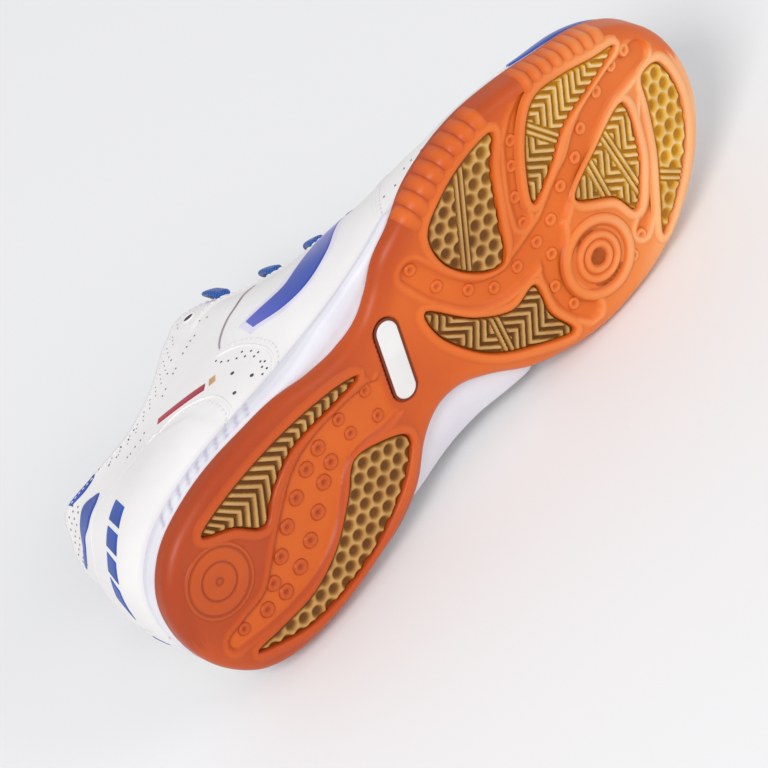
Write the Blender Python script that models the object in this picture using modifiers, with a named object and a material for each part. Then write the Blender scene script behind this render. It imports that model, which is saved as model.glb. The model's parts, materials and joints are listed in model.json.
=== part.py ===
"""Indoor soccer shoe, right foot, empty, lying on its inner side.

Metres, +Z up. The shoe is modelled on its own axes (X from heel to toe, Y towards the inner
side, Z from the ground up to the collar) and then laid down by the empty that carries it.
Lengths in the tables are shares of the named sizes: x of SOLE_LENGTH, y of the half width at
that x, and heights of the size that the column or function names.
"""
import math

import bmesh
import bpy
import numpy as np
from mathutils import Euler, Matrix, Vector

# Driving sizes of the shoe
SOLE_LENGTH = 0.290
BALL_WIDTH = 0.109
HEEL_WIDTH = 0.081
TOE_SPRING = 0.0125
ARCH_RISE = 0.0030

# Outsole: plate, cupped edge, tread
PLATE_THICKNESS = 0.0050
EDGE_ROUNDING = 0.0050
CUP_WALL = 0.0020
CUP_HEEL_HEIGHT = 0.0090
CUP_WAIST_HEIGHT = 0.0062
CUP_BALL_HEIGHT = 0.0130
CUP_TOE_HEIGHT = 0.0150
POCKET_DEPTH = 0.0026
PAD_THICKNESS = 0.0020
CHANNEL_DEPTH = 0.0013
RIB_GROOVE_WIDTH = 0.0015
RIB_GROOVE_DEPTH = 0.0012
RIB_LENGTH = 0.0070
INLAY_LENGTH = 0.034
INLAY_WIDTH = 0.011
INLAY_THICKNESS = 0.0012

# Midsole
BED_HEEL_HEIGHT = 0.0185
BED_BALL_HEIGHT = 0.0120
LEDGE_THICKNESS = 0.0012

# Upper and what lies in it
WALL = 0.0020
OVERLAY_STEP = 0.0008
COLLAR_HEIGHT = 0.0890
INSTEP_HEIGHT = 0.0990
VAMP_HEIGHT = 0.0615
TOE_BOX_HEIGHT = 0.0465
COLLAR_PAD = 0.0060
COLLAR_ROLL = 0.0020
TONGUE_THICKNESS = 0.0035
TONGUE_RISE = 0.017
INSOLE_THICKNESS = 0.0040
LACE_WIDTH = 0.0068
LACE_THICKNESS = 0.0022
LACE_BOW = 0.0040
EYELET_RADIUS = 0.0021

# Clearance between pieces that touch
GAP = 0.0003
# Where the cutters of the sole's underside start
BELOW_GROUND = -0.01

# How the shoe lies on its inner side: degrees turned about X, then Y, then Z
LYING_TURN = (-98.67, -6.32, 0.0)

STATIONS = 34
BEND_STEP = 0.010

# The sole seen from below: body is the midsole's outline, tread the outsole's
OUTLINE = [
    # x, body outer side, body inner side, tread outer side, tread inner side
    (0.000, -0.070, -0.070, -0.070, -0.070),
    (0.017, -0.580, 0.430, -0.580, 0.430),
    (0.040, -0.780, 0.670, -0.780, 0.670),
    (0.075, -0.940, 0.840, -0.940, 0.840),
    (0.120, -1.020, 0.940, -1.020, 0.940),
    (0.175, -1.050, 0.980, -1.050, 0.980),
    (0.240, -1.030, 0.975, -1.020, 0.970),
    (0.310, -0.985, 0.960, -0.950, 0.925),
    (0.355, -0.955, 0.955, -0.815, 0.800),
    (0.400, -0.920, 0.940, -0.690, 0.600),
    (0.445, -0.890, 0.915, -0.660, 0.490),
    (0.480, -0.880, 0.910, -0.730, 0.520),
    (0.515, -0.880, 0.920, -0.850, 0.640),
    (0.560, -0.895, 0.940, -0.895, 0.850),
    (0.610, -0.895, 1.000, -0.895, 0.985),
    (0.670, -0.890, 1.080, -0.890, 1.080),
    (0.735, -0.857, 1.120, -0.857, 1.120),
    (0.800, -0.755, 1.105, -0.755, 1.105),
    (0.860, -0.605, 1.035, -0.605, 1.035),
    (0.915, -0.450, 0.920, -0.450, 0.920),
    (0.955, -0.275, 0.775, -0.275, 0.775),
    (0.985, -0.060, 0.590, -0.060, 0.590),
    (1.000, 0.266, 0.266, 0.266, 0.266),
]

# The upper's columns, from the heel's back to the toe's tip, each starting at the sole
SIDES = [
    # foot, bulge and rise of the lower handle, reach and drop of the upper handle, in mm
    (0.000, 7.5, 22.0, 3.0, 24.0),
    (0.040, 7.0, 21.0, 3.0, 22.0),
    (0.100, 5.5, 20.0, 3.0, 20.0),
    (0.180, 5.0, 18.0, 3.0, 18.0),
    (0.290, 4.0, 18.0, 5.0, 20.0),
    (0.400, 3.0, 22.0, 9.0, 22.0),
    (0.500, 2.5, 20.0, 13.0, 14.0),
    (0.600, 1.0, 15.0, 14.0, 6.5),
    (0.700, 1.0, 13.5, 17.5, 1.5),
    (0.800, 2.5, 14.0, 16.5, 0.5),
    (0.900, 4.0, 16.0, 16.0, 0.0),
    (1.000, 4.0, 16.0, 13.0, 0.0),
]

# The upper's top edge: collar, throat and the ridge of the vamp
TOPLINE = [
    # foot, x, y outer side, y inner side, z, and the size that z follows
    (0.000, 0.027, -0.060, -0.060, 0.978, "collar"),
    (0.035, 0.044, -0.340, 0.240, 0.992, "collar"),
    (0.085, 0.072, -0.600, 0.490, 1.000, "collar"),
    (0.145, 0.124, -0.765, 0.680, 0.885, "collar"),
    (0.220, 0.195, -0.800, 0.730, 0.850, "collar"),
    (0.290, 0.262, -0.790, 0.730, 0.930, "collar"),
    (0.355, 0.325, -0.720, 0.670, 0.978, "instep"),
    (0.410, 0.378, -0.590, 0.530, 1.032, "instep"),
    (0.460, 0.430, -0.400, 0.350, 0.950, "instep"),
    (0.510, 0.485, -0.300, 0.260, 0.838, "instep"),
    (0.565, 0.545, -0.240, 0.230, 1.220, "vamp"),
    (0.620, 0.605, -0.170, 0.210, 1.105, "vamp"),
    (0.665, 0.655, -0.080, 0.170, 1.030, "vamp"),
    (0.690, 0.680, 0.040, 0.040, 1.000, "vamp"),
    (0.750, 0.735, 0.080, 0.080, 0.950, "vamp"),
    (0.810, 0.785, 0.120, 0.120, 0.900, "vamp"),
    (0.870, 0.832, 0.150, 0.150, 1.120, "toe"),
    (0.930, 0.875, 0.180, 0.180, 1.060, "toe"),
    (1.000, 0.925, 0.200, 0.200, 1.000, "toe"),
]
VAMP_POINT = 0.690
COLLAR_FRONT = 0.380
ROWS = [0.0, 0.08, 0.17, 0.27, 0.38, 0.49, 0.60, 0.70, 0.80, 0.87, 0.94, 1.0]

# Tread pads: outlines of what is set into the outsole, x and y as shares
PADS = {
    "tread_pad_heel_outer": [
        (0.110, -0.777), (0.150, -0.830), (0.217, -0.812), (0.285, -0.745), (0.347, -0.619),
        (0.390, -0.445), (0.386, -0.410), (0.338, -0.498), (0.270, -0.569), (0.214, -0.460),
        (0.173, -0.298), (0.146, -0.551)],
    "tread_pad_heel_inner": [
        (0.053, 0.478), (0.113, 0.742), (0.171, 0.837), (0.238, 0.843), (0.298, 0.757),
        (0.357, 0.575), (0.384, 0.390), (0.354, 0.175), (0.312, 0.039), (0.274, 0.237),
        (0.215, 0.480), (0.155, 0.578), (0.094, 0.521)],
    "tread_pad_ball_outer": [
        (0.732, -0.681), (0.697, -0.482), (0.660, -0.184), (0.629, 0.043), (0.594, -0.075),
        (0.571, -0.355), (0.581, -0.621), (0.627, -0.708), (0.681, -0.728)],
    "tread_pad_ball_rear": [
        (0.512, -0.233), (0.549, 0.133), (0.592, 0.358), (0.636, 0.369), (0.626, 0.632),
        (0.632, 0.884), (0.583, 0.724), (0.532, 0.459), (0.504, 0.054)],
    "tread_pad_toe_outer": [
        (0.934, -0.211), (0.871, -0.220), (0.810, -0.228), (0.762, -0.126), (0.709, -0.046),
        (0.733, -0.278), (0.771, -0.488), (0.807, -0.569), (0.853, -0.477), (0.897, -0.334)],
    "tread_pad_toe_centre": [
        (0.888, 0.084), (0.864, 0.396), (0.834, 0.569), (0.802, 0.679), (0.792, 0.473),
        (0.752, 0.200), (0.816, 0.095)],
    "tread_pad_toe_inner": [
        (0.966, 0.202), (0.962, 0.459), (0.931, 0.688), (0.884, 0.853), (0.808, 1.000),
        (0.839, 0.789), (0.880, 0.550), (0.914, 0.284), (0.934, 0.119)],
}

# Channels sunk between the lugs: centre line and width along it, width in mm
CHANNELS = {
    "channel_heel": [
        (0.425, -0.110, 9.0), (0.395, -0.070, 17.0), (0.330, -0.230, 17.0), (0.270, -0.180, 22.0),
        (0.215, 0.060, 25.0), (0.165, 0.220, 21.0), (0.115, 0.290, 12.0), (0.070, 0.240, 8.0),
        (0.045, 0.210, 6.0)],
    "channel_ball": [
        (0.953, -0.010, 9.0), (0.914, -0.062, 10.0), (0.875, -0.103, 10.0), (0.826, -0.064, 10.0),
        (0.787, 0.018, 9.0), (0.750, 0.057, 9.0), (0.711, 0.150, 10.0), (0.678, 0.179, 11.0),
        (0.637, 0.177, 10.0), (0.596, 0.121, 9.0), (0.566, -0.030, 9.0), (0.545, -0.296, 9.0),
        (0.533, -0.560, 8.0)],
    "channel_ring": [
        (0.700, 0.235, 8.0), (0.678, 0.340, 10.0), (0.658, 0.539, 8.0), (0.657, 0.720, 8.0),
        (0.668, 0.880, 6.0)],
}
# Grooves round the outer edge of the forefoot, with the side's ribs between them
RIBS = [
    # first groove, last groove, how many
    (0.600, 0.735, 7),
    (0.830, 0.925, 5),
]
# Eyelet pairs from the ankle to the toe, at these shares of the sole; the first is not laced
EYELETS = [0.388, 0.436, 0.495, 0.552, 0.607, 0.655]
EYELET_ROW = 0.885
THROAT_ROW = 0.99
LACE_START_SHIFT = 0.018
LACE_START_DEPTH = 0.0006

# Tongue: sections from under the vamp to its free top
TONGUE = [
    # foot, how far round under the eyestay it reaches
    (0.715, 0.800),
    (0.680, 0.790),
    (0.640, 0.800),
    (0.590, 0.810),
    (0.540, 0.820),
    (0.490, 0.840),
    (0.450, 0.870),
    (0.420, 0.900),
]
TONGUE_CROWN = 0.04
MILLIMETRE = 0.001


def smooth(knots, values):
    """A smooth curve through a column of a table: cubic pieces with three-point slopes."""
    knots = np.asarray(knots, float)
    values = np.asarray(values, float)
    slopes = np.gradient(values, knots)

    def at(place):
        place = np.clip(place, knots[0], knots[-1])
        i = np.clip(np.searchsorted(knots, place, side="right") - 1, 0, len(knots) - 2)
        h = knots[i + 1] - knots[i]
        t = (place - knots[i]) / h
        rise = values[i + 1] - values[i]
        return (values[i] + rise * t * t * (3 - 2 * t)
                + h * t * (1 - t) * (slopes[i] * (1 - t) - slopes[i + 1] * t))

    return at


def ease(low, high, value):
    """0 below low, 1 above high and a soft step between."""
    t = np.clip((value - low) / (high - low), 0, 1)
    return t * t * (3 - 2 * t)


def turn_of(x_share):
    """The station angle of an x share, as a share of a half turn: ends come out round."""
    return np.arccos(np.clip(1 - 2 * np.asarray(x_share, float), -1, 1)) / math.pi


def share_of(turn):
    return (1 - np.cos(np.asarray(turn, float) * math.pi)) / 2


def half_width(x_share):
    """Half the shoe's width: the heel's at the back, the ball's at the front."""
    return (HEEL_WIDTH + (BALL_WIDTH - HEEL_WIDTH) * ease(0.30, 0.70, x_share)) / 2


def spring(x):
    """How far the toe end curves up off the ground."""
    return TOE_SPRING * np.clip((x / SOLE_LENGTH - 0.74) / 0.26, 0, None) ** 2


def arch(x):
    """How far the waist of the sole is raised."""
    share = x / SOLE_LENGTH
    return ARCH_RISE * ease(0.33, 0.42, share) * (1 - ease(0.47, 0.56, share))


def cup_height(x, outer):
    """Height of the outsole's cupped edge, without spring: lower on the inner forefoot."""
    share = x / SOLE_LENGTH
    ball = CUP_BALL_HEIGHT if outer else CUP_BALL_HEIGHT - 0.0010
    rise = ball - CUP_WAIST_HEIGHT
    heights = smooth([0.0, 0.20, 0.33, 0.42, 0.53, 0.56, 0.61, 0.66, 0.80, 1.0],
                     [CUP_HEEL_HEIGHT, CUP_HEEL_HEIGHT, CUP_WAIST_HEIGHT, CUP_WAIST_HEIGHT,
                      CUP_WAIST_HEIGHT, CUP_WAIST_HEIGHT + 0.12 * rise,
                      CUP_WAIST_HEIGHT + 0.82 * rise, ball, ball, CUP_TOE_HEIGHT])
    return heights(share)


def bed_height(x):
    """Top of the midsole, where the upper and the insole sit, without spring."""
    share = x / SOLE_LENGTH
    return BED_HEEL_HEIGHT + (BED_BALL_HEIGHT - BED_HEEL_HEIGHT) * ease(0.28, 0.66, share)


TURNS = turn_of([row[0] for row in OUTLINE])
EDGES = {
    ("body", True): smooth(TURNS, [row[1] for row in OUTLINE]),
    ("body", False): smooth(TURNS, [row[2] for row in OUTLINE]),
    ("tread", True): smooth(TURNS, [row[3] for row in OUTLINE]),
    ("tread", False): smooth(TURNS, [row[4] for row in OUTLINE]),
}


def edge_point(kind, outer, turn):
    """A point of the body's or the tread's outline, on the plan."""
    share = share_of(turn)
    return np.stack([share * SOLE_LENGTH, EDGES[kind, outer](turn) * half_width(share)], -1)


def edge_normal(kind, outer, turn):
    """The outward direction at that point."""
    step = 1e-3
    ahead = np.minimum(turn + step, 1.0)
    back = np.maximum(turn - step, 0.0)
    run = edge_point(kind, outer, ahead) - edge_point(kind, outer, back)
    side = -1.0 if outer else 1.0
    normal = np.stack([-run[..., 1], run[..., 0]], -1) * side
    tip = (np.asarray(turn) <= 0) | (np.asarray(turn) >= 1)
    ends = np.stack([np.where(np.asarray(turn) <= 0, -1.0, 1.0), np.zeros_like(turn)], -1)
    normal = np.where(tip[..., None], ends, normal)
    return normal / np.linalg.norm(normal, axis=-1, keepdims=True)


def loop_turns(count):
    """Stations of a closed loop: along the outer side to the toe, back along the inner side."""
    turns = np.linspace(0, 1, count + 1)
    outer = np.array([True] * (count + 1) + [False] * (count - 1))
    return np.concatenate([turns, turns[-2:0:-1]]), outer


def either(outer, outer_side, inner_side):
    """Points of the one or the other side of a closed loop, as outer says."""
    return np.where(outer[:, None], outer_side, inner_side)


def contour(kind, inset, count=STATIONS):
    """The outline moved inwards by inset, as a closed loop of plan points."""
    turns, outer = loop_turns(count)
    points = either(outer, edge_point(kind, True, turns), edge_point(kind, False, turns))
    normals = either(outer, edge_normal(kind, True, turns), edge_normal(kind, False, turns))
    return points - normals * inset, outer


def new_object(name, mesh_data, collection, colour=None, roughness=0.5):
    mesh = bpy.data.meshes.new(name)
    mesh_data.to_mesh(mesh)
    mesh_data.free()
    thing = bpy.data.objects.new(name, mesh)
    collection.objects.link(thing)
    if colour:
        paint(thing, colour, roughness)
    return thing


def paint(thing, colour, roughness):
    material = bpy.data.materials.new(thing.name)
    material.use_nodes = True
    shader = material.node_tree.nodes["Principled BSDF"]
    shader.inputs["Base Color"].default_value = (*colour, 1.0)
    shader.inputs["Roughness"].default_value = roughness
    shader.inputs["Metallic"].default_value = 0.0
    thing.data.materials.clear()
    thing.data.materials.append(material)


def loft(rings, closed_ends=True, ladder=True):
    """A solid through rings of equal length. Ends are closed rung by rung, or left open."""
    data = bmesh.new()
    rows = [[data.verts.new(point) for point in ring] for ring in rings]
    size = len(rows[0])
    for low, high in zip(rows[:-1], rows[1:]):
        for i in range(size):
            j = (i + 1) % size
            data.faces.new((low[i], low[j], high[j], high[i]))
    if closed_ends:
        for row in (rows[0], rows[-1]):
            if ladder:
                rungs(data, row)
            else:
                data.faces.new(row)
    bmesh.ops.remove_doubles(data, verts=data.verts, dist=1e-6)
    bmesh.ops.recalc_face_normals(data, faces=data.faces)
    return data


def rungs(data, row):
    """Closes a long loop with strips across it, from one side to the other."""
    size = len(row)
    for i in range(size // 2):
        corners = [row[i], row[i + 1], row[size - i - 1], row[-i % size]]
        corners = [c for k, c in enumerate(corners) if c not in corners[:k]]
        data.faces.new(corners)


def bake(thing):
    """Applies an object's modifiers to its mesh."""
    graph = bpy.context.evaluated_depsgraph_get()
    mesh = bpy.data.meshes.new_from_object(thing.evaluated_get(graph))
    thing.modifiers.clear()
    thing.data = mesh
    return thing


def cut(thing, cutter, operation="DIFFERENCE"):
    modifier = thing.modifiers.new(cutter.name, "BOOLEAN")
    modifier.operation = operation
    modifier.solver = "EXACT"
    modifier.object = cutter
    bake(thing)


def as_cutter(thing):
    thing.hide_render = True
    thing.display_type = "WIRE"
    return thing


def lift(thing, with_arch=True):
    """Curves a flat-built sole piece up at the toe and, for the outsole, at the waist."""
    data = bmesh.new()
    data.from_mesh(thing.data)
    first = 0.33 * SOLE_LENGTH
    for x in np.arange(first, SOLE_LENGTH, BEND_STEP):
        everything = data.verts[:] + data.edges[:] + data.faces[:]
        bmesh.ops.bisect_plane(data, geom=everything, dist=1e-6, plane_co=(x, 0, 0), plane_no=(1, 0, 0))
    for vert in data.verts:
        vert.co.z += float(spring(vert.co.x) + (arch(vert.co.x) if with_arch else 0.0))
    bmesh.ops.dissolve_degenerate(data, edges=data.edges, dist=1e-6)
    data.to_mesh(thing.data)
    data.free()
    return thing


def plan_points(rows):
    """Shares of a table to plan points."""
    rows = np.asarray(rows, float)
    return np.stack([rows[:, 0] * SOLE_LENGTH, rows[:, 1] * half_width(rows[:, 0])], -1)


def rounded(points, per_side=2):
    """A closed outline softened between its corner points."""
    points = np.asarray(points, float)
    before = np.roll(points, 1, 0)
    after = np.roll(points, -1, 0)
    beyond = np.roll(points, -2, 0)
    out = []
    for k in range(per_side):
        t = k / per_side
        out.append(0.5 * (2 * points + (after - before) * t
                          + (2 * before - 5 * points + 4 * after - beyond) * t * t
                          + (3 * points - before - 3 * after + beyond) * t ** 3))
    return np.stack(out, 1).reshape(-1, 2)


def grown(points, amount):
    """A closed plan outline moved outwards by amount, or inwards where it is negative."""
    run = np.roll(points, -1, 0) - points
    area = np.sum(points[:, 0] * np.roll(points[:, 1], -1) - np.roll(points[:, 0], -1) * points[:, 1])
    after = np.stack([run[:, 1], -run[:, 0]], -1) / np.linalg.norm(run, axis=1)[:, None]
    before = np.roll(after, 1, 0)
    square = np.maximum(1 + np.sum(before * after, 1), 0.35)[:, None]
    return points + (before + after) / square * amount * np.sign(area)


def prism(points, bottom, top):
    """A flat outline as a solid between two heights."""
    data = bmesh.new()
    base = [data.verts.new((x, y, bottom)) for x, y in points]
    face = data.faces.new(base)
    moved = bmesh.ops.extrude_face_region(data, geom=[face])["geom"]
    for item in moved:
        if isinstance(item, bmesh.types.BMVert):
            item.co.z = top
    bmesh.ops.recalc_face_normals(data, faces=data.faces)
    return data


def stroke(rows):
    """The outline of a channel: its centre line with half its width to each side."""
    centre = plan_points([row[:2] for row in rows])
    widths = np.array([row[2] for row in rows]) * MILLIMETRE / 2
    places = np.linspace(0, len(rows) - 1, 3 * len(rows) - 2)
    knots = np.arange(len(rows))
    centre = np.stack([smooth(knots, centre[:, 0])(places), smooth(knots, centre[:, 1])(places)], -1)
    widths = smooth(knots, widths)(places)
    run = np.gradient(centre, axis=0)
    run /= np.linalg.norm(run, axis=1)[:, None]
    side = np.stack([-run[:, 1], run[:, 0]], -1) * widths[:, None]
    first_cap = centre[0] - run[0] * widths[0]
    last_cap = centre[-1] + run[-1] * widths[-1]
    return np.concatenate([centre + side, [last_cap], (centre - side)[::-1], [first_cap]])


def sole_ring(kind, inset, height):
    """A loop of the sole at a height that may change along it."""
    plan, outer = contour(kind, inset)
    z = height(plan[:, 0], outer) if callable(height) else np.full(len(plan), height)
    return np.concatenate([plan, z[:, None]], 1)


def cup_top(x, outer):
    return np.where(outer, cup_height(x, True), cup_height(x, False))


def make_outsole(parts, cutters):
    """Plate with a rounded lower edge and a thin cupped wall, cut for the pads and channels."""
    arc = [math.radians(angle) for angle in (0, 30, 60, 90)]
    rings = [sole_ring("tread", EDGE_ROUNDING * (1 - math.sin(a)), EDGE_ROUNDING * (1 - math.cos(a)))
             for a in arc]
    rings += [
        sole_ring("tread", 0.0, cup_top),
        sole_ring("tread", CUP_WALL, cup_top),
        sole_ring("tread", CUP_WALL, PLATE_THICKNESS),
    ]
    outsole = new_object("outsole", loft(rings), parts, (0.72, 0.17, 0.045), 0.42)
    for name, rows in PADS.items():
        hollow = prism(rounded(plan_points(rows)), BELOW_GROUND, POCKET_DEPTH)
        pocket = new_object("cut_" + name, hollow, cutters)
        cut(outsole, as_cutter(pocket))
    for name, rows in CHANNELS.items():
        hollow = prism(stroke(rows), BELOW_GROUND, CHANNEL_DEPTH)
        channel = new_object("cut_" + name, hollow, cutters)
        cut(outsole, as_cutter(channel))
    for first, last, count in RIBS:
        for place in np.linspace(first, last, count):
            groove = new_object("cut_rib", rib_groove(place), cutters)
            cut(outsole, as_cutter(groove))
    recess = inlay_solid(0.0, BELOW_GROUND, INLAY_THICKNESS + GAP)
    seat = new_object("cut_waist_inlay", recess, cutters)
    cut(outsole, as_cutter(seat))
    lift(outsole)
    return outsole


def rib_groove(place):
    """A groove across the sole's edge: down its side, round the lower edge and a little under."""
    turn = turn_of([place])
    foot = edge_point("tread", True, turn)[0]
    outward = edge_normal("tread", True, turn)[0]
    clear = 0.003
    radius = EDGE_ROUNDING - RIB_GROOVE_DEPTH
    arc = [(EDGE_ROUNDING - radius * math.sin(a), EDGE_ROUNDING - radius * math.cos(a))
           for a in (0.0, math.pi / 4, math.pi / 2)]
    side_top = 0.7 * CUP_BALL_HEIGHT
    outline = [(-clear, side_top), (-clear, -clear), (RIB_LENGTH, -clear), (RIB_LENGTH, -0.0001)]
    outline += arc + [(RIB_GROOVE_DEPTH, side_top)]
    data = prism(outline, -RIB_GROOVE_WIDTH / 2, RIB_GROOVE_WIDTH / 2)
    inwards = Vector((-outward[0], -outward[1], 0.0))
    up = Vector((0.0, 0.0, 1.0))
    axes = Matrix((inwards, up, inwards.cross(up))).transposed().to_4x4()
    data.transform(Matrix.Translation((foot[0], foot[1], 0.0)) @ axes)
    return data


def inlay_solid(inset, bottom, top):
    """A slanted bar with round ends across the waist."""
    centre = plan_points([(0.443, -0.185)])[0]
    slant = math.radians(-66)
    half = INLAY_LENGTH / 2 - INLAY_WIDTH / 2
    radius = INLAY_WIDTH / 2 - inset
    angles = np.radians(np.linspace(-90, 90, 9))
    cap = np.stack([half + radius * np.cos(angles), radius * np.sin(angles)], -1)
    outline = np.concatenate([cap, -cap])
    turn = np.array([[math.cos(slant), -math.sin(slant)], [math.sin(slant), math.cos(slant)]])
    return prism(outline @ turn.T + centre, bottom, top)


def make_tread(parts):
    """The pads seated in the outsole's pockets, and the bar in its waist."""
    recess = POCKET_DEPTH - PAD_THICKNESS - GAP
    for name, rows in PADS.items():
        outline = grown(rounded(plan_points(rows)), -GAP)
        pad = new_object(name, prism(outline, recess, recess + PAD_THICKNESS), parts,
                         (0.50, 0.27, 0.055), 0.5)
        lift(pad)
    inlay = new_object("waist_inlay", inlay_solid(GAP, 0.0, INLAY_THICKNESS), parts,
                       (0.86, 0.85, 0.83), 0.35)
    lift(inlay)


def ledge(x):
    """1 where the midsole steps out over the cup's rim, 0 where the cup hides it."""
    room = bed_height(x) - np.maximum(cup_height(x, True), cup_height(x, False))
    return ease(LEDGE_THICKNESS + 6 * GAP, 0.0058, room)


def midsole_ring(height, outset, inset):
    """A loop of the midsole: inside the cup, or out to the body's outline where it shows."""
    inner, outer = contour("tread", CUP_WALL + GAP)
    full, outer = contour("body", inset)
    share = ledge(inner[:, 0])[:, None] * outset
    plan = inner * (1 - share) + full * share
    z = height(plan[:, 0], outer)
    return np.concatenate([plan, z[:, None]], 1)


def rim_height(x, outer):
    """Underside of the midsole's step, just over the cup's rim and under the foot bed."""
    top = bed_height(x) + spring(x)
    return np.minimum(cup_top(x, outer) + 1.5 * GAP + spring(x) + arch(x), top - LEDGE_THICKNESS)


def make_midsole(parts):
    """The white foam layer: a core inside the cup and a step out over its rim."""
    def floor(x, outer):
        return PLATE_THICKNESS + GAP + spring(x) + arch(x)

    def top(x, outer):
        return bed_height(x) + spring(x)

    def part_way(share):
        return lambda x, outer: (1 - share) * rim_height(x, outer) + share * top(x, outer)

    rings = [
        midsole_ring(floor, 0.0, 0.0),
        midsole_ring(rim_height, 0.0, 0.0),
        midsole_ring(rim_height, 1.0, 0.0012),
        midsole_ring(part_way(0.45), 1.0, -0.0004),
        midsole_ring(part_way(0.90), 1.0, 0.0006),
        midsole_ring(top, 1.0, 0.0016),
    ]
    return new_object("midsole", loft(rings), parts, (0.84, 0.84, 0.85), 0.55)


FEET = turn_of([row[0] for row in SIDES])
HANDLES = [smooth(FEET, [row[k] * MILLIMETRE for row in SIDES]) for k in range(1, 5)]
TOP_HEIGHTS = {
    "collar": COLLAR_HEIGHT,
    "instep": INSTEP_HEIGHT,
    "vamp": VAMP_HEIGHT,
    "toe": TOE_BOX_HEIGHT,
}


def topline(turn, outer):
    """The top edge of the upper above the station: smooth along the collar and throat and,
    apart from it, along the ridge of the vamp, where both sides meet."""
    x_shares = np.array([row[1] for row in TOPLINE])
    y_shares = np.array([row[2] if outer else row[3] for row in TOPLINE])
    y = y_shares * half_width(x_shares)
    z = np.array([row[4] * TOP_HEIGHTS[row[5]] for row in TOPLINE])
    feet = turn_of([row[0] for row in TOPLINE])
    split = int(np.searchsorted([row[0] for row in TOPLINE], VAMP_POINT))
    edge = turn_of(VAMP_POINT)
    out = []
    for column in (x_shares * SOLE_LENGTH, y, z):
        back = smooth(feet[:split + 1], column[:split + 1])(turn)
        front = smooth(feet[split:], column[split:])(turn)
        out.append(np.where(np.asarray(turn) < edge, back, front))
    return np.stack(out, -1)


def feather(turn, outer):
    """Where the upper's wall starts, on the midsole's top edge."""
    inner = edge_point("tread", outer, turn) - edge_normal("tread", outer, turn) * (CUP_WALL + 2 * GAP)
    full = edge_point("body", outer, turn) - edge_normal("body", outer, turn) * 0.0022
    share = ledge(inner[..., 0])[..., None]
    plan = inner * (1 - share) + full * share
    z = bed_height(plan[..., 0]) + spring(plan[..., 0]) + GAP
    return np.concatenate([plan, z[..., None]], -1)


def shell_point(turn, outer, t):
    """A point of the upper's outer face: station along the sole, t from 0 at it to 1 on top."""
    turn = np.asarray(turn, float)
    t = np.asarray(t, float)[..., None]
    foot = feather(turn, outer)
    top = topline(turn, outer)
    bulge, rise, reach, drop = [handle(turn)[..., None] for handle in HANDLES]
    up = np.array([0.0, 0.0, 1.0])
    plan = edge_normal("body", outer, turn)
    outward = np.concatenate([plan, np.zeros_like(plan[..., :1])], -1)
    away = (foot - top) * np.array([1.0, 1.0, 0.0])
    away = away / np.linalg.norm(away, axis=-1, keepdims=True)
    low = foot + outward * bulge + up * rise
    high = top + away * reach - up * drop
    return (foot * (1 - t) ** 3 + low * 3 * t * (1 - t) ** 2
            + high * 3 * t * t * (1 - t) + top * t ** 3)


def shell_normal(turn, outer, t):
    step = 2e-3
    low_turn = np.clip(turn - step, 1e-6, 1 - 1e-6)
    high_turn = np.clip(turn + step, 1e-6, 1 - 1e-6)
    along = shell_point(high_turn, outer, t) - shell_point(low_turn, outer, t)
    above = shell_point(turn, outer, np.minimum(t + step, 1.0))
    upward = above - shell_point(turn, outer, np.maximum(t - step, 0.0))
    normal = np.cross(upward, along) if outer else np.cross(along, upward)
    return -normal / np.linalg.norm(normal, axis=-1, keepdims=True)


def inside(turn, outer, t, depth):
    """A point below the upper's outer face by depth."""
    return shell_point(turn, outer, t) - shell_normal(turn, outer, t) * depth


def overlay(turn, t):
    """How far an overlay stands out of the upper: eyestay and heel counter."""
    share = share_of(turn)
    eyestay = (t >= 0.80) & (share >= COLLAR_FRONT - 0.01) & (share <= VAMP_POINT + 0.02)
    counter = (t <= 0.60) & (share <= 0.235)
    return np.where(eyestay | counter, OVERLAY_STEP, 0.0)


def make_upper(parts):
    """The hollow upper: columns up from the sole to collar, throat and vamp ridge."""
    turns, outer = loop_turns(STATIONS)
    data = bmesh.new()
    rows = []
    for t in ROWS:
        level = np.full(len(turns), t)
        step = -overlay(turns, level)[:, None]
        points = either(outer, inside(turns, True, level, step), inside(turns, False, level, step))
        rows.append([data.verts.new(point) for point in points])
    size = len(turns)
    for low, high in zip(rows[:-1], rows[1:]):
        for i in range(size):
            j = (i + 1) % size
            data.faces.new((low[i], low[j], high[j], high[i]))
    bmesh.ops.remove_doubles(data, verts=data.verts, dist=2e-5)
    upper = new_object("upper", data, parts, (0.86, 0.85, 0.84), 0.45)
    shell = upper.modifiers.new("wall", "SOLIDIFY")
    shell.thickness = WALL
    shell.offset = -1.0
    shell.use_even_offset = True
    bake(upper)
    for vert in upper.data.vertices:
        bed = float(bed_height(vert.co.x) + spring(vert.co.x)) + GAP
        vert.co.z = max(vert.co.z, bed)
    return upper


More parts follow.
